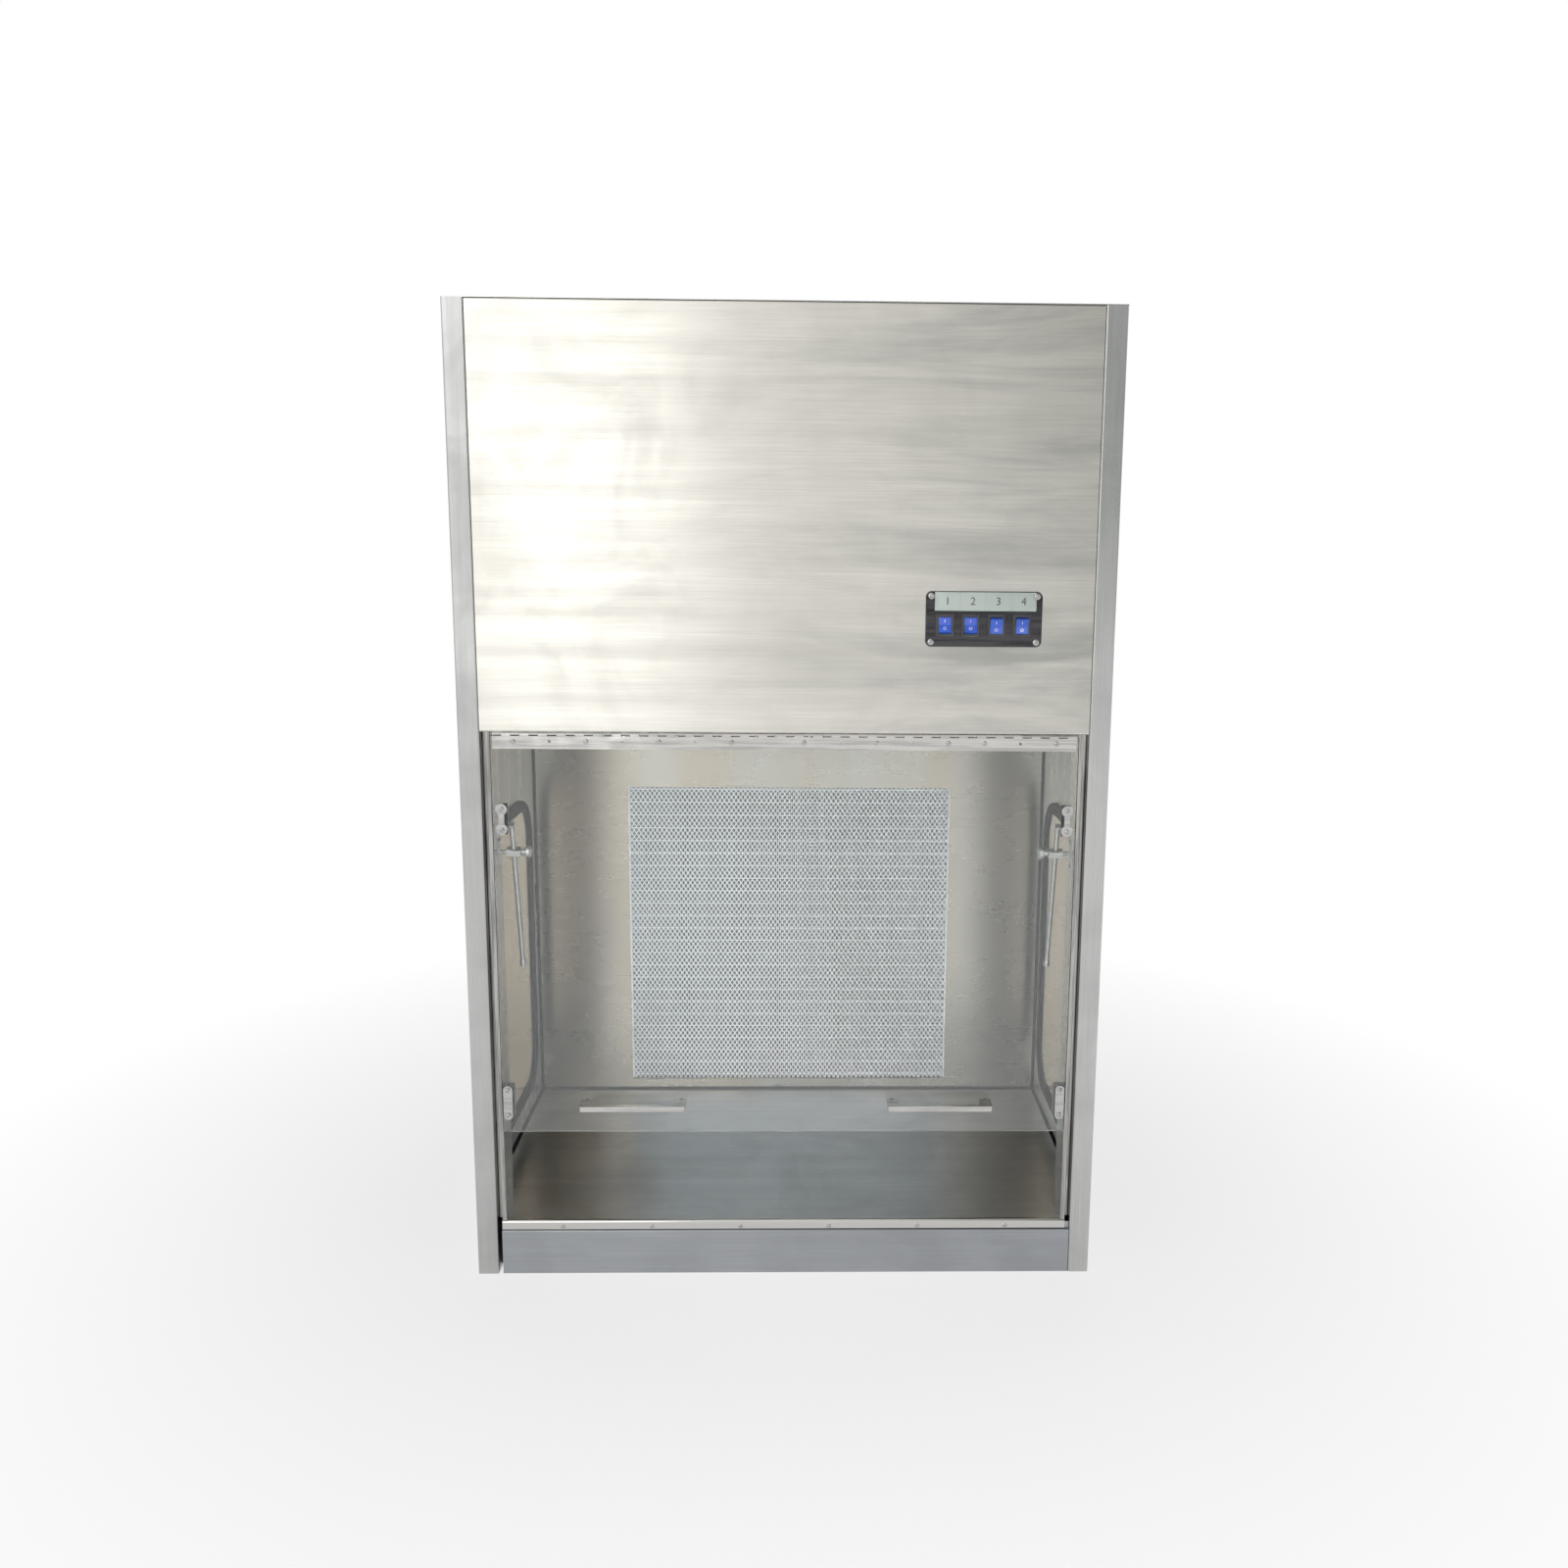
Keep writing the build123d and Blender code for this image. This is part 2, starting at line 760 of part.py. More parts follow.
def blower_housing():
    """Scroll housing with an inlet on the right, a motor opening on the left and a flanged foot."""
    half = scroll_width / 2
    shell = extrude(Plane.YZ.offset(-half) * scroll_face(scroll_wall), scroll_width)
    hollow = extrude(Plane.YZ.offset(-half + scroll_wall) * scroll_face(0), scroll_width - 2 * scroll_wall)
    near, far = outlet_limits()
    mouth = half - scroll_wall
    passage = span((-mouth, mouth), (near, far), (shelf_top - 1, blower_z - scroll_start))
    ring = half + outlet_flange
    flange = span((-ring, ring), (near - outlet_flange, far + outlet_flange),
                  (shelf_top, shelf_top + scroll_wall))
    housing = shell + flange - hollow - passage
    housing -= bar_x(inlet_radius, half - 2 * scroll_wall, half + 1, blower_y, blower_z)
    cone = Pos(half - inlet_depth, blower_y, blower_z) * (Rot(0, 90, 0) * inlet_cone())
    housing += cone
    return housing - bar_x(hub_radius + hub_clearance, -half - 1, -half + 2 * scroll_wall, blower_y, blower_z)


def inlet_cone():
    """Flared ring in the inlet, made about its own axis."""
    lip = scroll_wall
    throat = inlet_radius - inlet_flare
    profile = Polyline((throat, 0), (throat + lip, 0), (inlet_radius + lip, inlet_depth),
                       (inlet_radius, inlet_depth), (throat, 0))
    return revolve(Plane.XZ * make_face(profile), Axis.Z)


def impeller():
    """Forward-curved wheel: back plate, hub, ring of blades and front ring."""
    left = -scroll_width / 2 + scroll_wall + wheel_gap
    right = left + wheel_width
    wheel = bar_x(wheel_radius, left, left + wheel_sheet, blower_y, blower_z)
    wheel += bar_x(hub_radius, left - hub_collar, left + hub_length, blower_y, blower_z)
    rim = Circle(wheel_radius) - Circle(wheel_bore)
    wheel += extrude(Plane.YZ.offset(right - wheel_sheet) * Pos(blower_y, blower_z) * rim, wheel_sheet)
    inner, outer = wheel_bore + 1, wheel_radius - 1
    thick = blade_sheet
    middle = (inner + outer) / 2
    blade = make_face(Curve() + [
        ThreePointArc((inner, 0), (middle, blade_bow), (outer, 0)),
        Line((outer, 0), (outer, thick)),
        ThreePointArc((outer, thick), (middle, blade_bow + thick), (inner, thick)),
        Line((inner, thick), (inner, 0))])
    blades = [Rot(0, 0, 360 * i / blade_count) * blade for i in range(blade_count)]
    plane = Plane.YZ.offset(left + wheel_sheet)
    width_between = wheel_width - 2 * wheel_sheet
    for face in blades:
        wheel += extrude(plane * Pos(blower_y, blower_z) * face, width_between)
    return wheel - bar_x(shaft_radius + shaft_fit, left - 10, right, blower_y, blower_z)


def blower_motor():
    """Finned motor on the housing's left side, with its shaft in the wheel's hub."""
    seat = -scroll_width / 2
    outline = []
    for i in range(2 * motor_fins):
        radius = motor_radius - motor_fin_height * (i % 2)
        for edge in (0.1, 0.9):
            turn = pi * (i + edge) / motor_fins
            outline.append((radius * cos(turn), radius * sin(turn)))
    section = Pos(blower_y, blower_z) * make_face(Polyline(*outline, close=True))
    body = extrude(Plane.YZ.offset(seat - motor_length) * section, motor_length)
    hub_end = seat + scroll_wall + wheel_gap + hub_length
    return body + bar_x(shaft_radius, seat, hub_end, blower_y, blower_z)


def lamp_tube(y, length):
    """Glass tube along X with metal caps and two pins at each end."""
    z = shelf_bottom - tube_drop
    half = length / 2
    tube = bar_x(tube_radius - 0.5, -half + cap_length, half - cap_length, y, z)
    for side in (-1, 1):
        tube += bar_x(tube_radius, side * (half - cap_length), side * half, y, z)
        for pin in (-1, 1):
            tube += bar_x(holder_pin, side * half, side * (half + holder_pin_length),
                          y + holder_pin_offset * pin, z)
    return tube


def lamp_holders():
    """Four push-in holders under the ceiling, two for each tube."""
    z = shelf_bottom - tube_drop
    holders = []
    for y, length in ((light_y, light_length), (uv_y, uv_length)):
        for side in (-1, 1):
            seat = side * (length / 2 + touch)
            end = seat + side * holder_length
            low = z - 0.8 * tube_radius
            body = span((seat, end), (y - holder_width / 2, y + holder_width / 2), (low, shelf_bottom))
            edges = body.edges().filter_by(Axis.X).group_by(Axis.Z)[0]
            body = fillet(edges, holder_corner)
            for pin in (-1, 1):
                body -= bar_x(holder_pin + 0.1, seat - side, side * (length / 2 + holder_pin_length + 1),
                              y + holder_pin_offset * pin, z)
            holders.append(body)
    return holders


def ballasts():
    """Two lamp ballasts on the service shelf."""
    long, wide, tall = ballast_size
    units = []
    for i in range(2):
        x = ballast_inset - wall_inner + i * ballast_pitch
        unit = span((x - long / 2, x + long / 2), (gear_y - wide / 2, gear_y + wide / 2),
                    (shelf_top, shelf_top + tall))
        unit = chamfer(unit.edges().filter_by(Axis.X).group_by(Axis.Z)[-1], ballast_edge)
        for side in (-1, 1):
            x0 = x + side * long / 2
            unit += span((x0, x0 + side * ballast_foot), (gear_y - wide / 2, gear_y + wide / 2),
                         (shelf_top, shelf_top + ballast_foot_sheet))
        units.append(unit)
    return units


def terminal_block():
    """Row of terminals on the shelf beside the ballasts."""
    long, wide, tall = terminal_size
    x = switch_x
    body = span((x - long / 2, x + long / 2), (gear_y - wide / 2, gear_y + wide / 2),
                (shelf_top, shelf_top + tall))
    step = long / terminal_ways
    for i in range(1, terminal_ways):
        x0 = x - long / 2 + i * step
        body -= span((x0 - terminal_slot / 2, x0 + terminal_slot / 2), (gear_y - wide, gear_y + wide),
                     (shelf_top + 0.5 * tall, shelf_top + tall + 1))
    return body


def power_inlet():
    """Flanged mains inlet on the rear cover with its three blades."""
    wide, tall = inlet_flange[0] / 2, inlet_flange[1] / 2
    body_w, body_h = inlet_body[0] / 2 - seal_fit, inlet_body[1] / 2 - seal_fit
    sock_w, sock_h = inlet_socket[0] / 2, inlet_socket[1] / 2
    flange = span((inlet_x - wide, inlet_x + wide), (back, back + 3.0), (inlet_z - tall, inlet_z + tall))
    flange = fillet(flange.edges().filter_by(Axis.Y), 5.0)
    inlet = flange + span((inlet_x - body_w, inlet_x + body_w), (back - inlet_depth_back, back),
                          (inlet_z - body_h, inlet_z + body_h))
    floor = back - inlet_depth_back + 3.0
    inlet -= span((inlet_x - sock_w, inlet_x + sock_w), (floor, back + 4.0),
                  (inlet_z - sock_h, inlet_z + sock_h))
    thin, deep, long = inlet_pin
    for i in (-1, 0, 1):
        x = inlet_x + i * inlet_pin_pitch
        z = inlet_z + (1.5 if i == 0 else -1.5)
        inlet += span((x - thin / 2, x + thin / 2), (floor, floor + long), (z - deep / 2, z + deep / 2))
    return inlet


def plate_screw_places():
    """Corner screws of the switch plate."""
    return [(plate_x + i * plate_screw_x, plate_z + k * plate_screw_z) for i in (-1, 1) for k in (-1, 1)]


def switch_places():
    """Centres of the four switches, from left to right."""
    return [switch_x + (i - (switch_count - 1) / 2) * switch_pitch for i in range(switch_count)]


def switch_body_size():
    """Half width and half height of a switch body behind its bezel."""
    return bezel_width / 2 - bezel_wall + body_wall, bezel_height / 2 - bezel_wall + body_wall


def switch_plate():
    """Polished plate with rounded corners and four switch cut-outs."""
    plate = RectangleRounded(plate_width, plate_height, plate_corner)
    wide, tall = switch_body_size()
    for x in switch_places():
        plate -= Pos(x - plate_x, rocker_z - plate_z) * Rectangle(2 * wide + touch, 2 * tall + touch)
    for x, z in plate_screw_places():
        plate -= Pos(x - plate_x, z - plate_z) * Circle(screw_hole)
    return extrude(Plane.XZ.offset(-front) * Pos(plate_x, plate_z) * plate, plate_sheet)


def over_card(x, z):
    """Whether a plate screw's head lies over a label card."""
    end = card_x + switch_count * card_pitch / 2
    return x - plate_screw_head < end and x > card_x and z > card_z


def switch_plate_screws():
    """Pan-head screws in the plate's corners; one sits on the last label card."""
    screws = []
    for x, z in plate_screw_places():
        seat = front - plate_sheet - (card_sheet if over_card(x, z) else 0)
        screws.append(pan_screw(x, seat, z, plate_screw_length, head=plate_screw_head))
    return screws


def label_cards():
    """Four plain label cards side by side above the switches."""
    cards = []
    seat = front - plate_sheet
    for i in range(switch_count):
        x = card_x + (i - (switch_count - 1) / 2) * card_pitch
        half = (card_pitch - card_gap) / 2
        card = span((x - half, x + half), (seat - card_sheet, seat),
                    (card_z - card_height / 2, card_z + card_height / 2))
        for px, pz in plate_screw_places():
            if over_card(px, pz):
                card -= bar_y(screw_hole, seat - 1, seat + 1, px, pz)
        cards.append(card)
    return cards


def rocker_pivot_y():
    """Depth of the rockers' pivots."""
    return front - plate_sheet + rocker_pivot_setback


def rocker_half():
    """Half width and half height of a rocker."""
    return bezel_width / 2 - bezel_wall - rocker_fit, bezel_height / 2 - bezel_wall - rocker_fit


def switch_housings():
    """Bezel and body of each rocker switch, hollow around its rocker."""
    housings = []
    seat = front - plate_sheet
    wide, tall = switch_body_size()
    inner_w, inner_h = bezel_width / 2 - bezel_wall, bezel_height / 2 - bezel_wall
    for x in switch_places():
        flange = span((x - bezel_width / 2, x + bezel_width / 2), (seat - bezel_flange, seat),
                      (rocker_z - bezel_height / 2, rocker_z + bezel_height / 2))
        flange = chamfer(flange.edges().group_by(Axis.Y)[0], 0.6)
        body = span((x - wide, x + wide), (seat, seat + switch_body_depth),
                    (rocker_z - tall, rocker_z + tall))
        hollow = span((x - inner_w, x + inner_w), (seat - bezel_flange - 1, seat + rocker_well),
                      (rocker_z - inner_h, rocker_z + inner_h))
        pivot = bar_x(trunnion_radius + 0.05, x - inner_w - trunnion_length, x + inner_w + trunnion_length,
                      rocker_pivot_y(), rocker_z)
        housings.append(flange + body - hollow - pivot)
    return housings


def rocker(index):
    """Dished rocker with round ends about its pivot and two trunnions, as it stands at rest."""
    half_w, half_h = rocker_half()
    reach = half_h
    rise = atan2(rocker_rise, reach)
    drop = atan2(rocker_back, reach)
    top_front = (-reach * sin(rise), reach * cos(rise))
    top_back = (reach * sin(drop), reach * cos(drop))
    low_front = (top_front[0], -top_front[1])
    low_back = (top_back[0], -top_back[1])
    outline = Curve() + [
        Line((-rocker_dip, 0), top_front), ThreePointArc(top_front, (0, reach), top_back),
        Line(top_back, low_back), ThreePointArc(low_back, (0, -reach), low_front),
        Line(low_front, (-rocker_dip, 0))]
    section = make_face(outline)
    body = extrude(Plane.YZ.offset(-half_w) * section, 2 * half_w)
    body += bar_x(trunnion_radius, -half_w - rocker_fit - trunnion_length + 0.1,
                  half_w + rocker_fit + trunnion_length - 0.1, 0, 0)
    turn = rocker_rest(index)
    return Pos(switch_places()[index], rocker_pivot_y(), rocker_z) * (Rot(turn, 0, 0) * body)


def rocker_rest(index):
    """Rest angle about X: the first two are pressed at the top, the others at the bottom."""
    return -rocker_throw if index < switch_count / 2 else rocker_throw


def knuckle_face(web):
    """Rolled end of a hinge leaf about the pin, joined to its sheet by a web."""
    barrel = RegularPolygon(knuckle_radius, 10) - RegularPolygon(pin_radius + pin_fit, 6, major_radius=False)
    bored = web - RegularPolygon(pin_radius + pin_fit, 6, major_radius=False)
    return Pos(hinge_y, hinge_z) * (barrel + bored)


def knuckles(first, face):
    """Every second knuckle along the pin, from the given one."""
    pitch = hinge_length / knuckle_count
    solids = []
    for i in range(first, knuckle_count, 2):
        x = -hinge_length / 2 + i * pitch + knuckle_fit / 2
        solids.append(extrude(Plane.YZ.offset(x) * face, pitch - knuckle_fit))
    return solids


def hinge_fixed_leaf():
    """Leaf under the front panel's flange, with every second knuckle."""
    half = hinge_length / 2
    reach = knuckle_radius + touch
    top = hinge_z + knuckle_radius
    web = Pos(reach / 2, knuckle_radius - leaf_sheet / 2) * Rectangle(reach, leaf_sheet)
    leaf = span((-half, half), (hinge_y + reach, hinge_y + reach + leaf_height), (top - leaf_sheet, top))
    return leaf + knuckles(0, knuckle_face(web))


def hinge_moving_leaf():
    """Leaf on the sash, punched at an even pitch, with the other knuckles."""
    half = hinge_length / 2
    reach = knuckle_radius + touch
    web = Pos(leaf_sheet / 2 - knuckle_radius, -reach / 2) * Rectangle(leaf_sheet, reach)
    leaf = span((-half, half), (leaf_front, pane_front), (hinge_z - reach - leaf_height, hinge_z - reach))
    for i in range(hole_count):
        leaf -= bar_y(screw_hole, leaf_front - 1, pane_front + 1, hole_x(i), hinge_z - hole_below_axis)
    return leaf + knuckles(1, knuckle_face(web))


def hinge_pin():
    """Pin through every knuckle."""
    return bar_x(pin_radius, -hinge_length / 2, hinge_length / 2, hinge_y, hinge_z)


def hole_x(index):
    """Place of a hole along the moving leaf."""
    return (index - (hole_count - 1) / 2) * hole_pitch


def hinge_screws():
    """Screws through the moving leaf and the sash, with their nuts."""
    z = hinge_z - hole_below_axis
    length = pane_back - leaf_front + nut_height
    parts = []
    for i in screw_positions:
        parts.append(pan_screw(hole_x(i), leaf_front, z, length))
        parts.append(nut(hole_x(i), pane_back, z))
    return parts


def handle_screw_places():
    """Screws of both handles."""
    reach = handle_length / 2 - handle_foot / 2
    z = handle_top - handle_height / 2
    return [(x + end * reach, z) for x in (handle_left, handle_right) for end in (-1, 1)]


def handle(x):
    """Bar handle on two wedge-shaped feet, cut from one flat bar."""
    half = handle_length / 2
    outer = make_face(Polyline((-half, 0), (-half, handle_reach), (half, handle_reach), (half, 0),
                               close=True))
    outer = fillet(outer.vertices().group_by(Axis.Y)[-1], handle_corner)
    root, tip = half - handle_foot, half - handle_foot - handle_taper
    depth = handle_reach - handle_bar
    gap = make_face(Polyline((-root, 0), (-tip, depth), (tip, depth), (root, 0), close=True))
    gap = fillet(gap.vertices().group_by(Axis.Y)[-1], handle_corner)
    plane = Plane(origin=(x, pane_front, handle_top), x_dir=(1, 0, 0), z_dir=(0, 0, -1))
    bar = extrude(plane * (outer - gap), handle_height)
    for px, pz in handle_screw_places():
        bar -= bar_y(screw_shank + pin_fit, pane_front - handle_screw_length + pane_thickness - touch,
                     pane_front + 1, px, pz)
    return bar


def strike_screw_places():
    """Screws of the strike plates."""
    return [(side * strike_x, strike_z + k * strike_spacing / 2) for side in (-1, 1) for k in (-1, 1)]


def strike_plates():
    """Plates with round ends on both faces of the sash, at its lower corners."""
    slot = Rot(0, 0, 90) * SlotOverall(strike_height, strike_width)
    for k in (-1, 1):
        slot -= Pos(0, k * strike_spacing / 2) * Circle(screw_hole)
    plates = []
    for side in (-1, 1):
        for start in (pane_front - strike_sheet, pane_back):
            plane = Plane.XZ.offset(-(start + strike_sheet))
            plates.append(extrude(plane * Pos(side * strike_x, strike_z) * slot, strike_sheet))
    return plates


def magnetic_catches():
    """Catch bodies on the jambs, each just behind a rear strike plate."""
    start = pane_back + strike_sheet + catch_gap
    catches = []
    for side in (-1, 1):
        body = span((side * (jamb_inner - catch_reach), side * jamb_inner), (start, start + catch_thickness),
                    (strike_z - catch_length / 2, strike_z + catch_length / 2))
        catches.append(chamfer(body.edges().filter_by(Axis.Z), 1.0))
    return catches


def bracket_screw_places():
    """Screws of the stay brackets."""
    return [(side * bracket_x, bracket_z + k * bracket_spacing / 2) for side in (-1, 1) for k in (-1, 1)]


def stay_brackets():
    """Waisted plate in front of the sash and an angle behind it, whose tab carries the rod's eye."""
    lobe = bracket_width / 2
    face = Rectangle(bracket_waist, bracket_height - 2 * lobe)
    back_face = Rectangle(2 * lobe, bracket_height)
    for k in (-1, 1):
        face += Pos(0, k * (bracket_height / 2 - lobe)) * Circle(lobe)
    for k in (-1, 1):
        face -= Pos(0, k * bracket_spacing / 2) * Circle(screw_hole)
        back_face -= Pos(0, k * bracket_spacing / 2) * Circle(screw_shank + pin_fit)
    plate = extrude(Plane.XZ.offset(-pane_front) * Pos(bracket_x, bracket_z) * face, bracket_sheet)
    angle = extrude(Plane.XZ.offset(-(pane_back + bracket_sheet)) * Pos(bracket_x, bracket_z) * back_face,
                    bracket_sheet)
    angle = angle - span((tab_x() + bracket_sheet, width / 2), (pane_back - 1, pane_back + 3),
                         (bracket_z - bracket_height, bracket_z + bracket_height))
    tab = Rectangle(stay_top_y - pane_back, 2 * tab_radius, align=(Align.MAX, Align.CENTER))
    tab += Circle(tab_radius)
    angle += extrude(Plane.YZ.offset(tab_x()) * Pos(stay_top_y, stay_top_z) * tab, bracket_sheet)
    angle += bar_x(tab_rivet_radius, tab_x() + bracket_sheet, tab_x() + bracket_sheet + tab_rivet_head,
                   stay_top_y, stay_top_z)
    return [plate, angle, mirrored(plate), mirrored(angle)]


def tab_x():
    """Inner face of the tab, just beside the rod's eye."""
    return eye_end() + tab_fit


def eye_end():
    """Outer end of the rod's eye."""
    return stay_x + rod_radius + eye_reach


def sash_screws():
    """Screws of the strike plates, stay brackets and handles."""
    screws = []
    through = pane_thickness + 2 * strike_sheet
    for x, z in strike_screw_places():
        screws.append(pan_screw(x, pane_front - strike_sheet, z, through))
    for x, z in bracket_screw_places():
        screws.append(pan_screw(x, pane_front - bracket_sheet, z, through))
    for x, z in handle_screw_places():
        screw = pan_screw(0, 0, 0, handle_screw_length)
        screws.append(Pos(x, pane_back, z) * (Rot(0, 0, 180) * screw))
    return screws


def sash_pane():
    """Clear sash, drilled for everything that is screwed to it."""
    pane = span((-pane_half, pane_half), (pane_front, pane_back), (pane_bottom, pane_top))
    places = [(hole_x(i), hinge_z - hole_below_axis) for i in screw_positions]
    places += strike_screw_places() + bracket_screw_places() + handle_screw_places()
    for x, z in places:
        pane -= bar_y(screw_hole, pane_front - 1, pane_back + 1, x, z)
    return pane


def stay_mounts():
    """Round-ended plates on the jambs, each with the stud that its block turns on."""
    plate = Rot(0, 0, 90) * SlotOverall(mount_length, mount_width)
    seat = jamb_inner - mount_sheet
    mount = extrude(Plane.YZ.offset(seat) * Pos(stay_block_y, stay_block_z) * plate, mount_sheet)
    tip = block_outer() - stud_grip
    mount += bar_x(stud_radius, tip, seat, stay_block_y, stay_block_z)
    return [mount, mirrored(mount)]


def block_outer():
    """Outer end of a stay block."""
    return stay_x - rod_radius - rod_fit - block_wall + block_length


def stay_block():
    """Turning block: the rod slides through it, the jamb's stud enters it from outside."""
    outer = block_outer()
    body = span((outer - block_length, outer), (-block_width / 2, block_width / 2),
                (-block_height / 2, block_height / 2))
    body = chamfer(body.edges().filter_by(Axis.X), block_edge)
    rod_way = Pos(stay_x, 0, 0) * Cylinder(rod_radius + rod_fit, 2 * block_height)
    stud_way = bar_x(stud_radius + pin_fit, outer - stud_grip - 0.2, outer + 1, 0, 0)
    knob_way = bar_x(knob_screw + pin_fit, outer - block_length - 1, stay_x - rod_radius, 0, 0)
    return at_block() * (body - rod_way - stud_way - knob_way)


def at_block():
    """Place and tilt of the block and what it carries."""
    return Pos(0, stay_block_y, stay_block_z) * Rot(stay_angle, 0, 0)


def stay_rod():
    """Round rod from its eye on the sash down through the block to a wider end cap."""
    start = hypot(stay_top_y - stay_block_y, stay_top_z - stay_block_z)
    low = start - stay_length
    rod = Pos(stay_x, 0, (low + rod_cap_length + start) / 2) * Cylinder(rod_radius,
                                                                        stay_length - rod_cap_length)
    profile = Polyline((0, 0), (rod_cap_radius, 0), (rod_cap_radius, 0.7 * rod_cap_length),
                       (rod_radius, rod_cap_length), (0, rod_cap_length), (0, 0))
    cap = revolve(Plane.XZ * make_face(profile), Axis.Z)
    eye = bar_x(eye_radius, stay_x - eye_radius, eye_end(), 0, start)
    return at_block() * (rod + Pos(stay_x, 0, low) * cap + eye)


def stay_knob():
    """Mushroom knob on a screw that clamps the rod."""
    face = block_outer() - block_length - touch
    start = face - knob_neck - knob_thickness
    reach = stay_x - rod_radius - 0.25
    rim = knob_radius
    profile = Polyline((0, start), (0.55 * rim, start), (0.9 * rim, start + 1.2), (rim, start + 3.0),
                       (rim, start + knob_thickness), (0.62 * rim, start + knob_thickness + 1.5),
                       (0.5 * rim, face), (knob_screw, face), (knob_screw, reach), (0, reach), (0, start))
    knob = revolve(Plane.XZ * make_face(profile), Axis.Z)
    return at_block() * (Rot(0, 90, 0) * knob)


def groups():
    """Every node of the hood by name."""
    right = side_panel()
    nodes = {
        "right_side_panel": right,
        "left_side_panel": mirrored(right),
        "right_window_seal": window_seal(),
        "left_window_seal": mirrored(window_seal()),
        "right_window_glass": window_glass(),
        "left_window_glass": mirrored(window_glass()),
        "upper_front_panel": upper_front_panel(),
        "top_cover": top_cover(),
        "rear_cover": rear_cover(),
        "rear_cover_screws": rear_cover_screws(),
        "base_pan": base_pan(),
        "plinth_panel": plinth_panel(),
        "work_surface": work_surface(),
        "sill_rivets": sill_rivets(),
        "chamber_back_wall": chamber_back_wall(),
        "service_shelf": service_shelf(),
        "right_jamb": jamb(),
        "left_jamb": mirrored(jamb()),
        "chamber_sealant": chamber_sealant(),
        "hepa_frame": hepa_frame(),
        "hepa_media": hepa_media(),
        "filter_guard": filter_guard(),
        "filter_gasket": filter_gasket(),
        "filter_clamps": filter_clamps(),
        "prefilter": prefilter(),
        "prefilter_tray": prefilter_tray(),
        "blower_housing": blower_housing(),
        "blower_motor": blower_motor(),
        "impeller": impeller(),
        "lamp_holders": lamp_holders(),
        "light_tube": lamp_tube(light_y, light_length),
        "uv_tube": lamp_tube(uv_y, uv_length),
        "control_gear": ballasts() + [terminal_block()],
        "power_inlet": power_inlet(),
        "switch_plate": switch_plate(),
        "switch_plate_screws": switch_plate_screws(),
        "label_cards": label_cards(),
        "switch_housings": switch_housings(),
        "hinge_fixed_leaf": hinge_fixed_leaf(),
        "hinge_moving_leaf": hinge_moving_leaf(),
        "hinge_pin": hinge_pin(),
        "hinge_screws": hinge_screws(),
        "magnetic_catches": magnetic_catches(),
        "stay_mounts": stay_mounts(),
        "sash_pane": sash_pane(),
        "sash_screws": sash_screws(),
        "strike_plates": strike_plates(),
        "stay_brackets": stay_brackets(),
        "right_handle": handle(handle_right),
        "left_handle": handle(handle_left),
    }
    for name, make in (("block", stay_block), ("rod", stay_rod), ("knob", stay_knob)):
        nodes["right_stay_" + name] = make()
        nodes["left_stay_" + name] = mirrored(make())
    for i in range(switch_count):
        nodes["rocker_" + str(i + 1)] = rocker(i)
    return nodes


os.makedirs("parts", exist_ok=True)
for name, shape in groups().items():
    solids = []
    for piece in shape if isinstance(shape, list) else [shape]:
        solids.extend(piece.solids())
    export_step(Compound(children=solids) if len(solids) > 1 else solids[0], "parts/" + name + ".step")
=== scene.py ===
from math import atan2, cos, pi, radians, sin

import bmesh
import bpy
from mathutils import Matrix, Vector


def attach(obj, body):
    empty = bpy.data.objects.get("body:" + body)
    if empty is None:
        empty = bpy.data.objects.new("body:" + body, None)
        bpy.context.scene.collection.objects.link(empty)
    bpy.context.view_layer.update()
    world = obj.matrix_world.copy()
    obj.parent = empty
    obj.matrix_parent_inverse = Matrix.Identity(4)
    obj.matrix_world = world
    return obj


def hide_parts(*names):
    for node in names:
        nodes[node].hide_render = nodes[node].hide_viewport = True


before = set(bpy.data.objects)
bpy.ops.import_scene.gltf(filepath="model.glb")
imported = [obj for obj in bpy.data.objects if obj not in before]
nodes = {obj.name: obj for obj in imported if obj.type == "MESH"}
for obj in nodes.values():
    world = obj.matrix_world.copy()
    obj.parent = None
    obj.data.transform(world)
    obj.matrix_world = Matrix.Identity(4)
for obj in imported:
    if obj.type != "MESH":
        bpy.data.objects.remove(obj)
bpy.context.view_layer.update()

# Laminar flow hood: finishes, filter pack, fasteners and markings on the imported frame.
# Metres. X to the right, Y into the depth, Z up.

MM = 0.001

# Places on the frame that the added pieces share
front = -0.350
back = 0.350
pane_front = -0.3478
pane_back = -0.3428
hinge_screw_z = 0.7910
hinge_hole_pitch = 0.050
hinge_holes = 16
hinge_screw_holes = (0, 2, 4, 6, 8, 10, 12, 13, 15)
leaf_front = -0.3490
strike_x, strike_z, strike_spacing = 0.3985, 0.2653, 0.038
bracket_x, bracket_z, bracket_spacing = 0.3940, 0.6815, 0.030
strike_sheet = 0.0015
handle_centres = (-0.2174, 0.2223)
handle_screw_reach = 0.0675
handle_screw_z = 0.26625
plate_x, plate_z = 0.2691, 0.9622
plate_sheet = 0.0015
card_sheet = 0.0006
plate_screw_x, plate_screw_z = 0.072, 0.031
card_x, card_z, card_pitch = 0.27105, 0.9860, 0.0346
switch_x, switch_pitch, switch_count = 0.2685, 0.0351, 4
rocker_z, rocker_pivot_y = 0.9535, -0.3505
rocker_throw = radians(12)
cover_screw_x = 0.438
cover_screw_end, cover_screw_rows, cabinet_height = 0.060, 6, 1.3745
filter_half = 0.287
filter_z = 0.3715
guard_front, guard_thickness = 0.1532, 0.0015
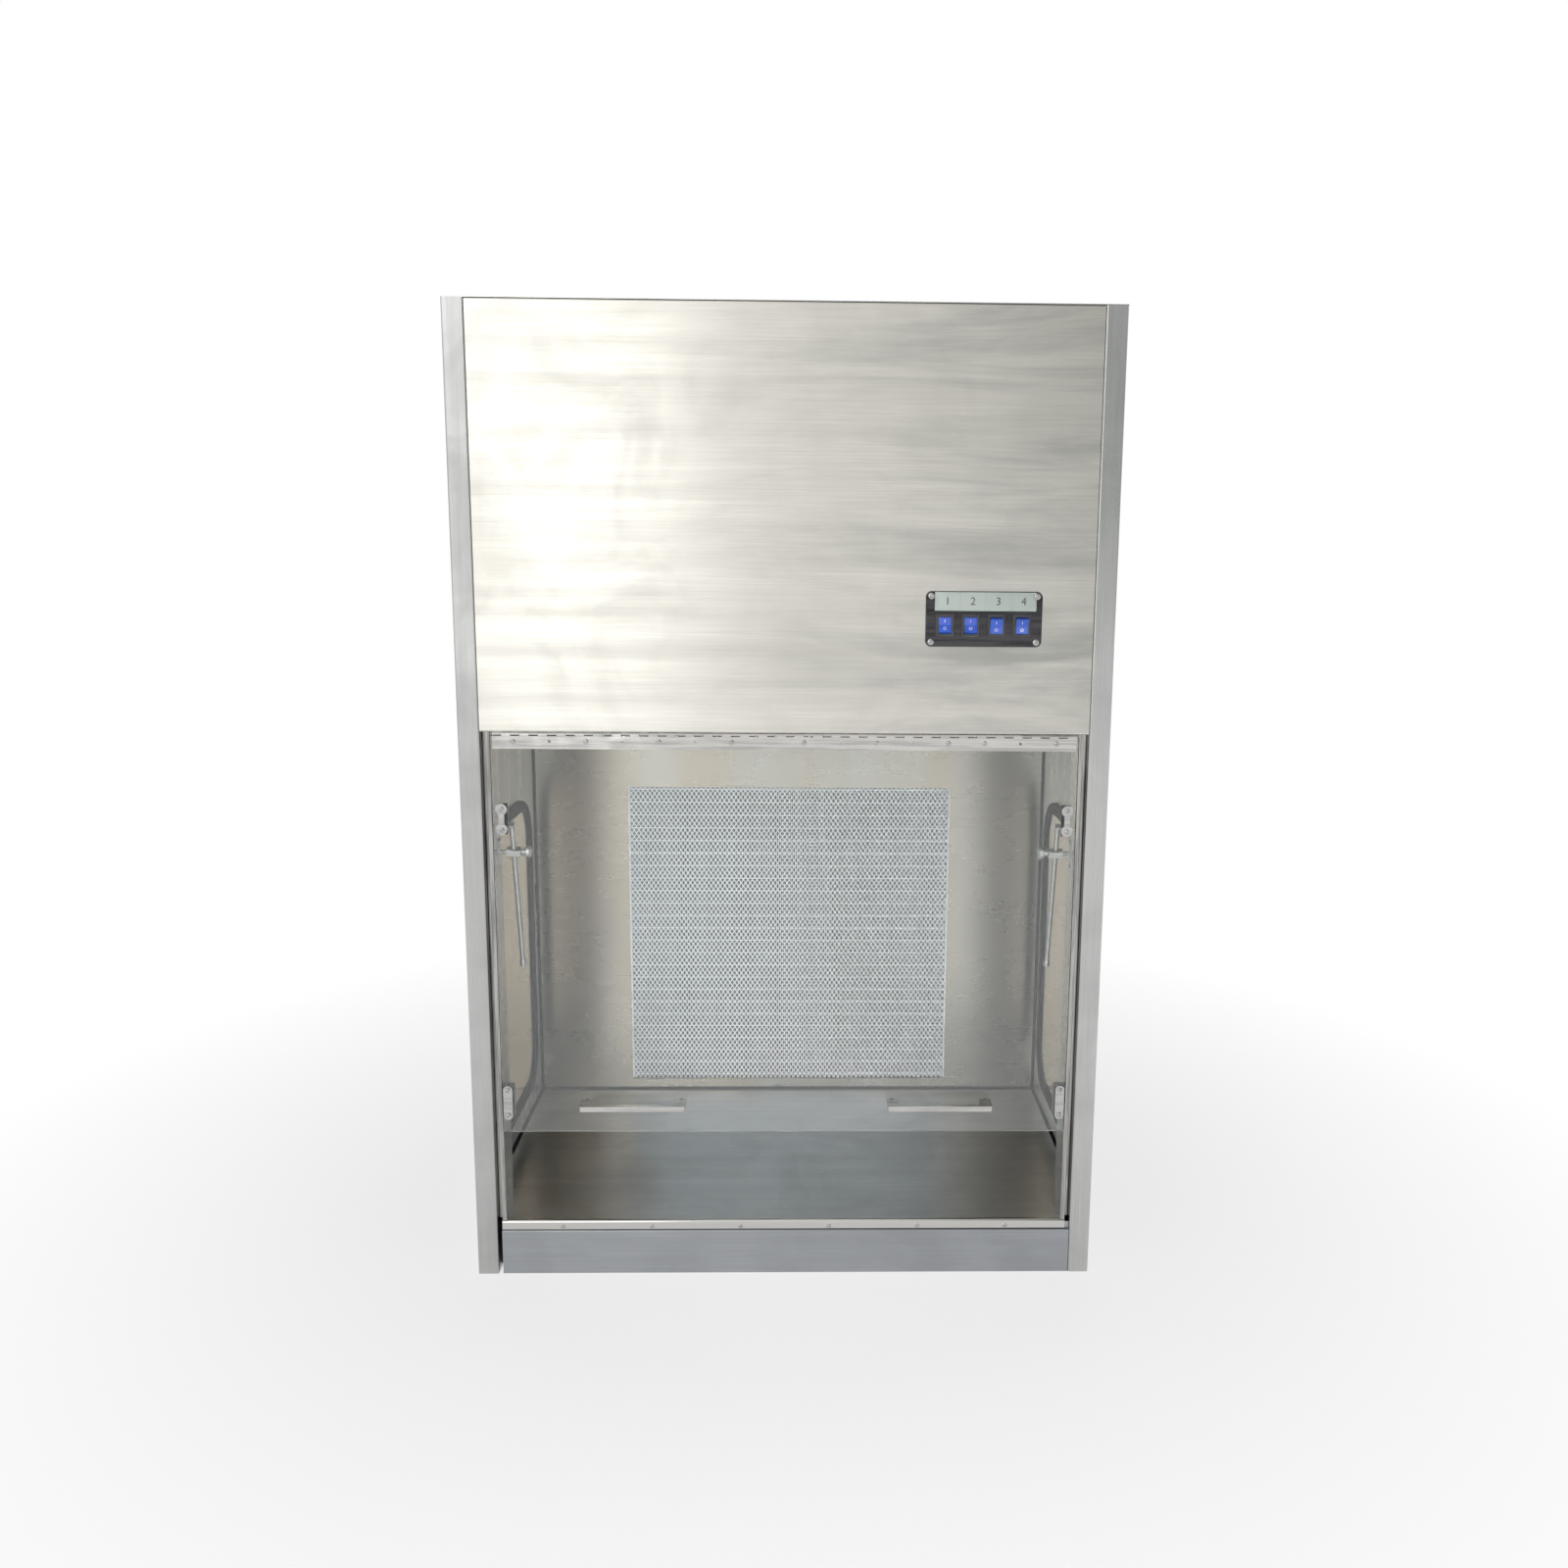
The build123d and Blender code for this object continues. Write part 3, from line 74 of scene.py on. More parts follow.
media_front, media_back = 0.1552, 0.2110
lip_polished, lip_dull = -0.3435, -0.3405

# Sizes of the added pieces
screw_sides, first_screw_seed = 20, 11
small_head, large_head, head_height = 3.6 * MM, 4.6 * MM, 2.2 * MM
shank_radius = 1.6 * MM
nut_radius, nut_thickness, nut_play = 3.0 * MM, 2.4 * MM, 0.1 * MM
guard_columns, guard_rows = 70, 48
guard_strand, guard_mesh_thickness, guard_border = 0.95 * MM, 0.9 * MM, 5 * MM
pleats, pleat_steps, glue_beads = 150, 8, 24
paper_thickness, bead_radius, fold_shade = 0.3 * MM, 0.9 * MM, 0.020
print_thickness, card_number_size, rocker_mark_size = 0.03 * MM, 15 * MM, 6 * MM
rocker_face_y, rocker_mark_reach, rocker_face_lean = -4.74 * MM, 5.0 * MM, atan2(1.85, 9.90)
merge_distance = 0.00001

# Finishes
PANEL_STEEL = (0.78, 0.76, 0.70)
POST_STEEL = (0.56, 0.565, 0.555)
WALL_STEEL = (0.55, 0.53, 0.49)
FLOOR_STEEL = (0.70, 0.72, 0.73)
PLINTH_STEEL = (0.41, 0.425, 0.45)
POLISHED_STEEL = (0.60, 0.59, 0.57)
BRIGHT_NICKEL = (0.52, 0.52, 0.51)
# Tan: painted reflection in the chamber sheets. Grey: panel smears and painted darker reflection.
REFLECTED_TAN = (0.50, 0.43, 0.34)
SMEAR_AND_REFLECTION_GREY = (0.36, 0.37, 0.36)
NOISE_LOW, NOISE_HIGH = 0.3, 0.7

# Surround: what steel mirrors, and what lights matt surfaces
ROOM_PALE, ROOM_DIM, ROOM_DARK = (0.92, 0.92, 0.91), (0.70, 0.70, 0.68), (0.15, 0.17, 0.16)
ROOM_LIGHT = (0.34, 0.34, 0.34)
narrow_beam = 0.42


# Node building

def add(tree, kind, inputs=None, **settings):
    """Places a node, with its settings and its unlinked or linked inputs."""
    made = tree.nodes.new(kind)
    for name, value in settings.items():
        setattr(made, name, value)
    for name, value in (inputs or {}).items():
        feed(tree, made.inputs[name], value)
    return made


def feed(tree, socket, value):
    """Links another node's output to a socket, or writes a plain value on it."""
    if isinstance(value, bpy.types.NodeSocket):
        tree.links.new(value, socket)
    elif value is not None:
        if socket.type == "RGBA" and len(value) == 3:
            value = (*value, 1.0)
        socket.default_value = value


def maths(tree, operation, a, b=None):
    """One sum of two numbers."""
    made = add(tree, "ShaderNodeMath", operation=operation)
    feed(tree, made.inputs[0], a)
    feed(tree, made.inputs[1], b)
    return made.outputs[0]


def times(tree, a, b):
    """One number multiplied by another."""
    return maths(tree, "MULTIPLY", a, b)


def along_axis(tree, vector, axis):
    """One component of a vector."""
    return add(tree, "ShaderNodeSeparateXYZ", {"Vector": vector}).outputs[axis]


def any_ray(tree, *kinds):
    """1 for the given kinds of ray, and 0 for the rest."""
    rays = add(tree, "ShaderNodeLightPath")
    share = rays.outputs["Is " + kinds[0] + " Ray"]
    for kind in kinds[1:]:
        share = maths(tree, "MAXIMUM", share, rays.outputs["Is " + kind + " Ray"])
    return share


def noise(tree, vector, scale, detail, roughness=0.5, distortion=0.0):
    """Value of a noise texture."""
    made = add(tree, "ShaderNodeTexNoise", {"Vector": vector, "Scale": scale, "Detail": detail,
                                            "Roughness": roughness, "Distortion": distortion})
    return made.outputs["Fac"]


def remap(tree, value, low, high, to_low, to_high):
    """A value moved from one range to another and held inside it."""
    made = add(tree, "ShaderNodeMapRange", {"Value": value, "From Min": low, "From Max": high,
                                            "To Min": to_low, "To Max": to_high}, clamp=True)
    return made.outputs["Result"]


def mix_colours(tree, share, a, b):
    """Colour b laid over colour a by a share."""
    made = add(tree, "ShaderNodeMix", data_type="RGBA")
    feed(tree, made.inputs[0], share)
    feed(tree, made.inputs[6], a)
    feed(tree, made.inputs[7], b)
    return made.outputs[2]


def scaled(colour, amount):
    """The same colour, lighter or darker."""
    return tuple(min(1.0, c * amount) for c in colour)


def new_group(name, inputs, outputs):
    """An empty shader group with named sockets, its input node and its output node."""
    tree = bpy.data.node_groups.new(name, "ShaderNodeTree")
    for label, kind, value in inputs:
        socket = tree.interface.new_socket(label, in_out="INPUT", socket_type=kind)
        if value is not None:
            socket.default_value = value
    for label, kind in outputs:
        tree.interface.new_socket(label, in_out="OUTPUT", socket_type=kind)
    return tree, tree.nodes.new("NodeGroupInput"), tree.nodes.new("NodeGroupOutput")


# Effects that several finishes share

def rolled_grain():
    """Fine lines and broad streaks drawn out along X of the given vector."""
    tree, given, result = new_group(
        "rolled_grain",
        [("Vector", "NodeSocketVector", None), ("Fineness", "NodeSocketFloat", 420.0),
         ("Stretch", "NodeSocketFloat", 60.0)],
        [("Lines", "NodeSocketFloat"), ("Streaks", "NodeSocketFloat")])
    along = maths(tree, "DIVIDE", given.outputs["Fineness"], given.outputs["Stretch"])
    shape = add(tree, "ShaderNodeCombineXYZ", {"X": along, "Y": given.outputs["Fineness"],
                                               "Z": given.outputs["Fineness"]})
    drawn = add(tree, "ShaderNodeVectorMath", operation="MULTIPLY")
    feed(tree, drawn.inputs[0], given.outputs["Vector"])
    feed(tree, drawn.inputs[1], shape.outputs["Vector"])
    tree.links.new(noise(tree, drawn.outputs["Vector"], 1.0, 3.0, 0.65), result.inputs["Lines"])
    tree.links.new(noise(tree, drawn.outputs["Vector"], 0.09, 5.0, 0.6), result.inputs["Streaks"])
    return tree


def handling_marks():
    """Cloudy wipe marks left by hands and cloths."""
    tree, given, result = new_group(
        "handling_marks",
        [("Vector", "NodeSocketVector", None), ("Size", "NodeSocketFloat", 9.0),
         ("Cover", "NodeSocketFloat", 0.5)],
        [("Mask", "NodeSocketFloat")])
    cloud = noise(tree, given.outputs["Vector"], given.outputs["Size"], 6.0, 0.62, 0.8)
    low = maths(tree, "SUBTRACT", 0.85, given.outputs["Cover"])
    high = maths(tree, "ADD", low, 0.22)
    tree.links.new(remap(tree, cloud, low, high, 0.0, 1.0), result.inputs["Mask"])
    return tree


def sheet_waviness():
    """Height of the slow dents and rolls in thin sheet."""
    tree, given, result = new_group(
        "sheet_waviness",
        [("Vector", "NodeSocketVector", None), ("Size", "NodeSocketFloat", 5.0)],
        [("Height", "NodeSocketFloat")])
    roll = noise(tree, given.outputs["Vector"], given.outputs["Size"], 1.5, 0.4, 0.3)
    tree.links.new(roll, result.inputs["Height"])
    return tree


def fine_mottle():
    """Close, even speckle of moulded, cast and painted surfaces."""
    tree, given, result = new_group(
        "fine_mottle",
        [("Vector", "NodeSocketVector", None), ("Fineness", "NodeSocketFloat", 700.0)],
        [("Speckle", "NodeSocketFloat"), ("Patches", "NodeSocketFloat")])
    speckle = noise(tree, given.outputs["Vector"], given.outputs["Fineness"], 2.0)
    patches = noise(tree, given.outputs["Vector"], 18.0, 4.0, 0.6)
    tree.links.new(speckle, result.inputs["Speckle"])
    tree.links.new(patches, result.inputs["Patches"])
    return tree


GRAIN, MARKS, WAVES, MOTTLE = rolled_grain(), handling_marks(), sheet_waviness(), fine_mottle()


def place_group(tree, group, inputs):
    """One of the shared effects inside a material."""
    made = add(tree, "ShaderNodeGroup", node_tree=group)
    for name, value in inputs.items():
        feed(tree, made.inputs[name], value)
    return made


def new_material(name):
    """A material with its tree, its shader and the object's own coordinates."""
    material = bpy.data.materials.new(name)
    material.use_nodes = True
    tree = material.node_tree
    where = add(tree, "ShaderNodeTexCoord").outputs["Object"]
    return material, tree, tree.nodes["Principled BSDF"], where


def set_plain(shader, values):
    """Values that are the same all over the surface, on the shader's own sockets."""
    for name, value in values.items():
        feed(None, shader.inputs[name], value)


def bumped(tree, shader, height, distance, strength, under=None):
    """Bump from a height, laid over another bump where there is one."""
    bump = add(tree, "ShaderNodeBump", {"Height": height, "Distance": distance, "Strength": strength})
    if under is not None:
        tree.links.new(under, bump.inputs["Normal"])
    tree.links.new(bump.outputs["Normal"], shader.inputs["Normal"])
    return bump.outputs["Normal"]


TURN_TO = {"X": (0.0, 0.0, 0.0), "Z": (0.0, pi / 2, 0.0)}


def turned_to(tree, where, along):
    """Coordinates turned so that the grain runs along an axis."""
    turned = add(tree, "ShaderNodeMapping", {"Vector": where, "Rotation": TURN_TO[along]})
    return turned.outputs["Vector"]


def wipe_marks(tree, where, size, cover):
    """Mask of the shared wipe marks."""
    return place_group(tree, MARKS, {"Vector": where, "Size": size, "Cover": cover}).outputs["Mask"]


def brushed_steel(name, colour, along="X", roughness=0.30, anisotropy=0.7, marks=0.25, waves=0.05,
                  shade=0.12, relief=0.6):
    """Brushed sheet: grain along one axis, wipe marks and slow waves.

    Returns what later layers need.
    """
    material, tree, shader, where = new_material(name)
    grain = place_group(tree, GRAIN, {"Vector": turned_to(tree, where, along),
                                      "Fineness": 420.0, "Stretch": 60.0})
    wiped = wipe_marks(tree, where, 7.0, 0.42)
    waved = place_group(tree, WAVES, {"Vector": where, "Size": 4.0})
    lines = remap(tree, grain.outputs["Lines"], NOISE_LOW, NOISE_HIGH, 0.0, 1.0)
    streaks = remap(tree, grain.outputs["Streaks"], NOISE_LOW, NOISE_HIGH, 0.0, 1.0)
    base = mix_colours(tree, lines, scaled(colour, 1 - shade), scaled(colour, 1 + shade / 2))
    base = mix_colours(tree, times(tree, streaks, 0.5), base, scaled(colour, 1 - 1.4 * shade))
    base = mix_colours(tree, times(tree, wiped, marks), base, scaled(colour, 0.72))
    tree.links.new(base, shader.inputs["Base Color"])
    rough = remap(tree, grain.outputs["Streaks"], NOISE_LOW, NOISE_HIGH,
                  roughness - 0.08 * relief, roughness + 0.1 * relief)
    rough = maths(tree, "ADD", rough, times(tree, wiped, 0.25 * marks))
    tree.links.new(rough, shader.inputs["Roughness"])
    slow = bumped(tree, shader, waved.outputs["Height"], 0.004, waves)
    bumped(tree, shader, grain.outputs["Lines"], 0.00008, relief, under=slow)
    set_plain(shader, {"Metallic": 1.0, "Anisotropic": anisotropy})
    tangent = add(tree, "ShaderNodeTangent", direction_type="RADIAL", axis="Z" if along == "Z" else "X")
    tree.links.new(tangent.outputs["Tangent"], shader.inputs["Tangent"])
    return material, tree, shader, where, base


def polished_steel(name, colour, roughness, waves=0.6, size=9.0, along="X", streaked=0.75):
    """Bright polished sheet with wavy reflections, dark streaks of painted reflection along the grain,
    wipe marks and hair lines.
    """
    material, tree, shader, where = new_material(name)
    wiped = wipe_marks(tree, where, 22.0, 0.40)
    waved = place_group(tree, WAVES, {"Vector": where, "Size": size})
    turned = turned_to(tree, where, along)
    grain = place_group(tree, GRAIN, {"Vector": turned, "Fineness": 900.0, "Stretch": 45.0})
    streak_pattern = place_group(tree, GRAIN, {"Vector": turned, "Fineness": 260.0, "Stretch": 30.0})
    base = mix_colours(tree, grain.outputs["Lines"], scaled(colour, 0.94), scaled(colour, 1.05))
    # Painted reflection: dark streaks along the grain stand in for dark surroundings mirrored in the
    # polish.
    painted_reflection_streaks = remap(tree, streak_pattern.outputs["Lines"], 0.44, 0.60, 0.0, streaked)
    base = mix_colours(tree, painted_reflection_streaks, base, scaled(colour, 0.42))
    base = mix_colours(tree, times(tree, wiped, 0.25), base, scaled(colour, 0.82))
    tree.links.new(base, shader.inputs["Base Color"])
    rough = maths(tree, "ADD", times(tree, wiped, 0.07), roughness)
    tree.links.new(rough, shader.inputs["Roughness"])
    slow = bumped(tree, shader, waved.outputs["Height"], 0.003, waves)
    bumped(tree, shader, grain.outputs["Lines"], 0.00003, 0.5, under=slow)
    set_plain(shader, {"Metallic": 1.0})
    return material


def moulded(name, colour, roughness, fineness, grain_depth=0.00005, plain=None, variety=0.10):
    """Moulded, painted or paper surface: close speckle, soft patches, and wear in its gloss."""
    material, tree, shader, where = new_material(name)
    mottle = place_group(tree, MOTTLE, {"Vector": where, "Fineness": fineness})
    wiped = wipe_marks(tree, where, 30.0, 0.42)
    base = mix_colours(tree, mottle.outputs["Speckle"], scaled(colour, 1 - variety),
                       scaled(colour, 1 + variety))
    base = mix_colours(tree, times(tree, mottle.outputs["Patches"], 0.4), base,
                       scaled(colour, 1 - variety))
    tree.links.new(base, shader.inputs["Base Color"])
    rough = remap(tree, mottle.outputs["Patches"], NOISE_LOW, NOISE_HIGH,
                  roughness - 0.04, roughness + 0.06)
    rough = maths(tree, "ADD", rough, times(tree, wiped, 0.05))
    tree.links.new(rough, shader.inputs["Roughness"])
    bumped(tree, shader, mottle.outputs["Speckle"], grain_depth, 0.7)
    set_plain(shader, plain or {})
    return material


# Sheet finishes

def panel_finish():
    """Upper panel: level grain with cloudy grey streaks that gather towards the right, partly smears and
    partly painted darker reflection.
    """
    material, tree, shader, where, base = brushed_steel("panel_steel", PANEL_STEEL, "X", 0.32, 0.75,
                                                        waves=0.015)
    drawn = add(tree, "ShaderNodeMapping", {"Vector": where, "Scale": (2.2, 1.0, 17.0),
                                            "Rotation": (0.0, radians(-3), 0.0)}).outputs["Vector"]
    smear = remap(tree, noise(tree, drawn, 1.0, 6.0, 0.62, 0.7), 0.47, 0.68, 0.0, 1.0)
    # Painted darker reflection: the grey smears grow stronger towards the right of the panel.
    right = remap(tree, along_axis(tree, where, "X"), -0.15, 0.30, 0.15, 1.0)
    share = times(tree, times(tree, smear, right), 0.55)
    tree.links.new(mix_colours(tree, share, base, SMEAR_AND_REFLECTION_GREY), shader.inputs["Base Color"])
    return material


def wall_finish(name, colour, tan):
    """Chamber sheet with soft upright bands of tan and grey, a painted reflection of the surroundings.
    """
    material, tree, shader, where, base = brushed_steel(name, colour, "X", 0.27, 0.6, marks=0.05,
                                                        waves=0.0, shade=0.03, relief=0.08)
    drawn = add(tree, "ShaderNodeMapping", {"Vector": where, "Scale": (6.0, 3.0, 0.25)})
    band = noise(tree, drawn.outputs["Vector"], 1.0, 3.0)
    # Painted reflection: tan and grey bands stand in for surroundings mirrored in the steel.
    reflected_tan_share = remap(tree, band, 0.42, 0.62, 0.0, tan)
    reflected_grey_share = remap(tree, band, 0.42, 0.30, 0.0, 0.45)
    base = mix_colours(tree, reflected_tan_share, base, REFLECTED_TAN)
    tree.links.new(mix_colours(tree, reflected_grey_share, base, SMEAR_AND_REFLECTION_GREY), shader.inputs["Base Color"])
    return material


def work_surface_finish():
    """Work surface, dull on top and polished along its turned-down front edge."""
    material, tree, shader, where, base = brushed_steel("work_surface_steel", FLOOR_STEEL, "X", 0.33,
                                                        0.5, marks=0.45)
    edge = remap(tree, along_axis(tree, where, "Y"), lip_polished, lip_dull, 1.0, 0.0)
    rolled = mix_colours(tree, edge, base, POLISHED_STEEL)
    tree.links.new(rolled, shader.inputs["Base Color"])
    rough = shader.inputs["Roughness"].links[0].from_socket
    smooth = add(tree, "ShaderNodeMix", data_type="FLOAT")
    feed(tree, smooth.inputs[0], edge)
    feed(tree, smooth.inputs[2], rough)
    feed(tree, smooth.inputs[3], 0.10)
    tree.links.new(smooth.outputs[0], shader.inputs["Roughness"])
    return material


def galvanised_finish():
    """Hot-dipped zinc with its crystal spangle."""
    material, tree, shader, where = new_material("galvanised_sheet")
    crystals = add(tree, "ShaderNodeTexVoronoi", {"Vector": where, "Scale": 55.0})
    tone = add(tree, "ShaderNodeSeparateColor", {"Color": crystals.outputs["Color"]}).outputs[0]
    base = mix_colours(tree, tone, (0.46, 0.48, 0.50), (0.64, 0.66, 0.68))
    tree.links.new(base, shader.inputs["Base Color"])
    tree.links.new(remap(tree, tone, 0.0, 1.0, 0.30, 0.48), shader.inputs["Roughness"])
    bumped(tree, shader, tone, 0.00005, 0.5)
    set_plain(shader, {"Metallic": 1.0})
    return material


# Clear sheets

def see_through(name, colour, transmission, ior, rough_edge, flat_axis):
    """Clear sheet: smooth faces, sawn edges, faint wipe marks, and light that passes straight on."""
    material, tree, shader, where = new_material(name)
    facing = add(tree, "ShaderNodeNewGeometry").outputs["True Normal"]
    flat = maths(tree, "ABSOLUTE", along_axis(tree, facing, flat_axis))
    sawn = remap(tree, flat, 0.5, 0.7, 1.0, 0.0)
    tree.links.new(remap(tree, sawn, 0.0, 1.0, 0.0, rough_edge), shader.inputs["Roughness"])
    wiped = times(tree, wipe_marks(tree, where, 10.0, 0.36), 0.15)
    tree.links.new(mix_colours(tree, wiped, colour, scaled(colour, 0.94)), shader.inputs["Base Color"])
    set_plain(shader, {"Transmission Weight": transmission, "IOR": ior})
    passing = add(tree, "ShaderNodeBsdfTransparent", {"Color": scaled(colour, 0.95)})
    blend = add(tree, "ShaderNodeMixShader", {"Fac": any_ray(tree, "Shadow", "Diffuse")})
    tree.links.new(shader.outputs["BSDF"], blend.inputs[1])
    tree.links.new(passing.outputs["BSDF"], blend.inputs[2])
    tree.links.new(blend.outputs["Shader"], tree.nodes["Material Output"].inputs["Surface"])
    return material


def fibre_finish():
    """Matted fibre of the pre-filter pad."""
    material, tree, shader, where = new_material("prefilter_fibre")
    mat = noise(tree, where, 160.0, 8.0, 0.75, 2.0)
    tree.links.new(mix_colours(tree, mat, (0.52, 0.58, 0.53), (0.86, 0.88, 0.85)),
                   shader.inputs["Base Color"])
    bumped(tree, shader, mat, 0.002, 0.8)
    set_plain(shader, {"Roughness": 0.95, "Sheen Weight": 0.3})
    return material


def paper_finish():
    """Pleated filter paper with painted shade: cooler and greyer towards the bottom of each fold."""
    material, tree, shader, where = new_material("filter_paper")
    mottle = place_group(tree, MOTTLE, {"Vector": where, "Fineness": 500.0})
    # Painted shade: the paper darkens and cools from the pleat tips back into the fold bottoms.
    painted_fold_shade = remap(tree, along_axis(tree, where, "Y"), media_front, media_front + fold_shade, 0.0, 1.0)
    base = mix_colours(tree, painted_fold_shade, (0.90, 0.94, 1.0), (0.50, 0.55, 0.62))
    base = mix_colours(tree, times(tree, mottle.outputs["Patches"], 0.2), base, (0.80, 0.83, 0.88))
    tree.links.new(base, shader.inputs["Base Color"])
    bumped(tree, shader, mottle.outputs["Speckle"], 0.0001, 0.5)
    set_plain(shader, {"Roughness": 0.85})
    return material


FINISH = {
    "panel": panel_finish(),
    "post": brushed_steel("post_steel", POST_STEEL, "Z", 0.28, 0.7, marks=0.3)[0],
    "plinth": brushed_steel("plinth_steel", PLINTH_STEEL, "X", 0.30, 0.6, marks=0.3)[0],
    "outer": brushed_steel("outer_steel", POST_STEEL, "X", 0.32, 0.6, marks=0.3)[0],
    # Painted reflection: tan and grey bands on the chamber's back wall and the service shelf.
    "wall": wall_finish("chamber_wall_steel", WALL_STEEL, 0.7),
    "ceiling": wall_finish("chamber_ceiling_steel", WALL_STEEL, 0.3),
    "work": work_surface_finish(),
    "jamb": polished_steel("jamb_steel", scaled(POLISHED_STEEL, 0.78), 0.08, along="Z"),
    "bright": polished_steel("bright_steel", POLISHED_STEEL, 0.09, 0.5, 14.0, streaked=0.45),
    # Painted reflection: the polished switch plate gets a near-black colour for the dark surroundings it
    # mirrors.
    "plate": polished_steel("switch_plate_painted_dark_reflection", (0.08, 0.08, 0.085), 0.06, 0.9, 16.0),
    "nickel": polished_steel("bright_nickel", BRIGHT_NICKEL, 0.12, 0.2, 30.0, streaked=0.3),
    "screw": polished_steel("screw_steel", (0.26, 0.26, 0.27), 0.16, 0.2, 30.0, streaked=0.3),
    "zinc": brushed_steel("zinc_plate", (0.58, 0.59, 0.60), "X", 0.34, 0.0, marks=0.3)[0],
    "galvanised": galvanised_finish(),
    "acrylic": see_through("clear_acrylic", (0.96, 0.98, 0.97), 0.985, 1.49, 0.35, "Y"),
    "tinted": see_through("tinted_glass", (0.34, 0.28, 0.20), 0.95, 1.52, 0.30, "X"),
    "rubber": moulded("black_rubber", (0.010, 0.010, 0.011), 0.75, 500.0, 0.0001,
                     {"Specular IOR Level": 0.12}, variety=0.25),
    "black": moulded("black_plastic", (0.028, 0.028, 0.030), 0.32, 900.0, plain={"Coat Weight": 0.2}),
    "blue": moulded("blue_plastic", (0.012, 0.075, 0.46), 0.18, 300.0, 0.00001,
                    {"Coat Weight": 0.6, "Coat Roughness": 0.05, "Subsurface Weight": 0.1,
                     "Subsurface Scale": 0.004}),
    "card": moulded("label_card", (0.36, 0.41, 0.38), 0.34, 400.0, 0.00001, variety=0.06),
    "paper": paper_finish(),
    "aluminium": brushed_steel("filter_metal", (0.68, 0.69, 0.70), "X", 0.38, 0.3, marks=0.2)[0],
    "mesh": moulded("white_mesh", (0.97, 0.98, 0.99), 0.42, 900.0, variety=0.02),
    "fibre": fibre_finish(),
    "motor": moulded("motor_paint", (0.10, 0.115, 0.13), 0.40, 500.0, 0.0002),
    "lamp": moulded("lamp_glass", (0.86, 0.88, 0.87), 0.10, 200.0, 0.000005,
                    {"Coat Weight": 1.0, "Coat Roughness": 0.03}, variety=0.02),
    "white": moulded("white_plastic", (0.78, 0.78, 0.75), 0.30, 800.0, variety=0.04),
    "ink": moulded("black_ink", (0.02, 0.02, 0.022), 0.55, 900.0, 0.00001),
    "print": moulded("white_print", (0.75, 0.80, 0.86), 0.45, 900.0, 0.00001, variety=0.04),
}

WEARS = {
    "panel": ["upper_front_panel"],
    "post": ["left_side_panel", "right_side_panel"],
    "plinth": ["plinth_panel"],
    "outer": ["top_cover", "rear_cover", "base_pan"],
    "wall": ["chamber_back_wall"],
    "ceiling": ["service_shelf"],
    "work": ["work_surface"],
    "jamb": ["left_jamb", "right_jamb"],
    "bright": ["hinge_fixed_leaf", "hinge_moving_leaf", "hinge_pin", "left_handle", "right_handle",
               "sill_rivets"],
    "plate": ["switch_plate"],
    "nickel": ["strike_plates", "stay_brackets", "stay_mounts", "left_stay_block", "right_stay_block",
               "left_stay_rod", "right_stay_rod", "left_stay_knob", "right_stay_knob"],
    "screw": ["hinge_screws", "sash_screws", "switch_plate_screws"],
    "zinc": ["rear_cover_screws", "filter_clamps", "prefilter_tray"],
    "galvanised": ["blower_housing", "impeller"],
    "acrylic": ["sash_pane"],
    "tinted": ["left_window_glass", "right_window_glass"],
    "rubber": ["left_window_seal", "right_window_seal", "chamber_sealant", "filter_gasket"],
    "black": ["magnetic_catches", "switch_housings", "power_inlet"],
    "blue": ["rocker_1", "rocker_2", "rocker_3", "rocker_4"],
    "card": ["label_cards"],
    "paper": ["hepa_media"],
    "aluminium": ["hepa_frame"],
    "mesh": ["filter_guard"],
    "fibre": ["prefilter"],
    "motor": ["blower_motor"],
    "lamp": ["light_tube", "uv_tube"],
    "white": ["lamp_holders", "control_gear"],
}


def dress_nodes():
    """Gives every node of the frame its finish."""
    for finish, names in WEARS.items():
        for name in names:
            piece = nodes[name]
            if not piece.material_slots:
                piece.data.materials.append(FINISH[finish])
            for place in piece.material_slots:
                place.material = FINISH[finish]


# Meshes and repeats

def as_object(name, mesh):
    """A mesh put into the scene at the origin."""
    made = bpy.data.objects.new(name, mesh)
    bpy.context.scene.collection.objects.link(made)
    return made


def mesh_from(name, shape):
    """Closes a bmesh into a mesh with its faces outwards."""
    bmesh.ops.recalc_face_normals(shape, faces=shape.faces)
    mesh = bpy.data.meshes.new(name)
    shape.to_mesh(mesh)
    shape.free()
    return mesh


def new_tree(name, inputs):
    """A geometry tree with named inputs, its input node and its output node."""
    tree = bpy.data.node_groups.new(name, "GeometryNodeTree")
    tree.is_modifier = True
    tree.interface.new_socket("Geometry", in_out="INPUT", socket_type="NodeSocketGeometry")
    for label, kind in inputs:
        tree.interface.new_socket(label, in_out="INPUT", socket_type=kind)
    tree.interface.new_socket("Geometry", in_out="OUTPUT", socket_type="NodeSocketGeometry")
    return tree, tree.nodes.new("NodeGroupInput"), tree.nodes.new("NodeGroupOutput")


def close_tree(tree, given, result, geometry):
    """Ends a tree in real, merged geometry with its finish."""
    real = add(tree, "GeometryNodeRealizeInstances", {"Geometry": geometry})
    merged = add(tree, "GeometryNodeMergeByDistance", {"Geometry": real.outputs["Geometry"],
                                                       "Distance": merge_distance})
    coated = add(tree, "GeometryNodeSetMaterial", {"Geometry": merged.outputs["Geometry"],
                                                   "Material": given.outputs["Finish"]})
    tree.links.new(coated.outputs["Geometry"], result.inputs["Geometry"])


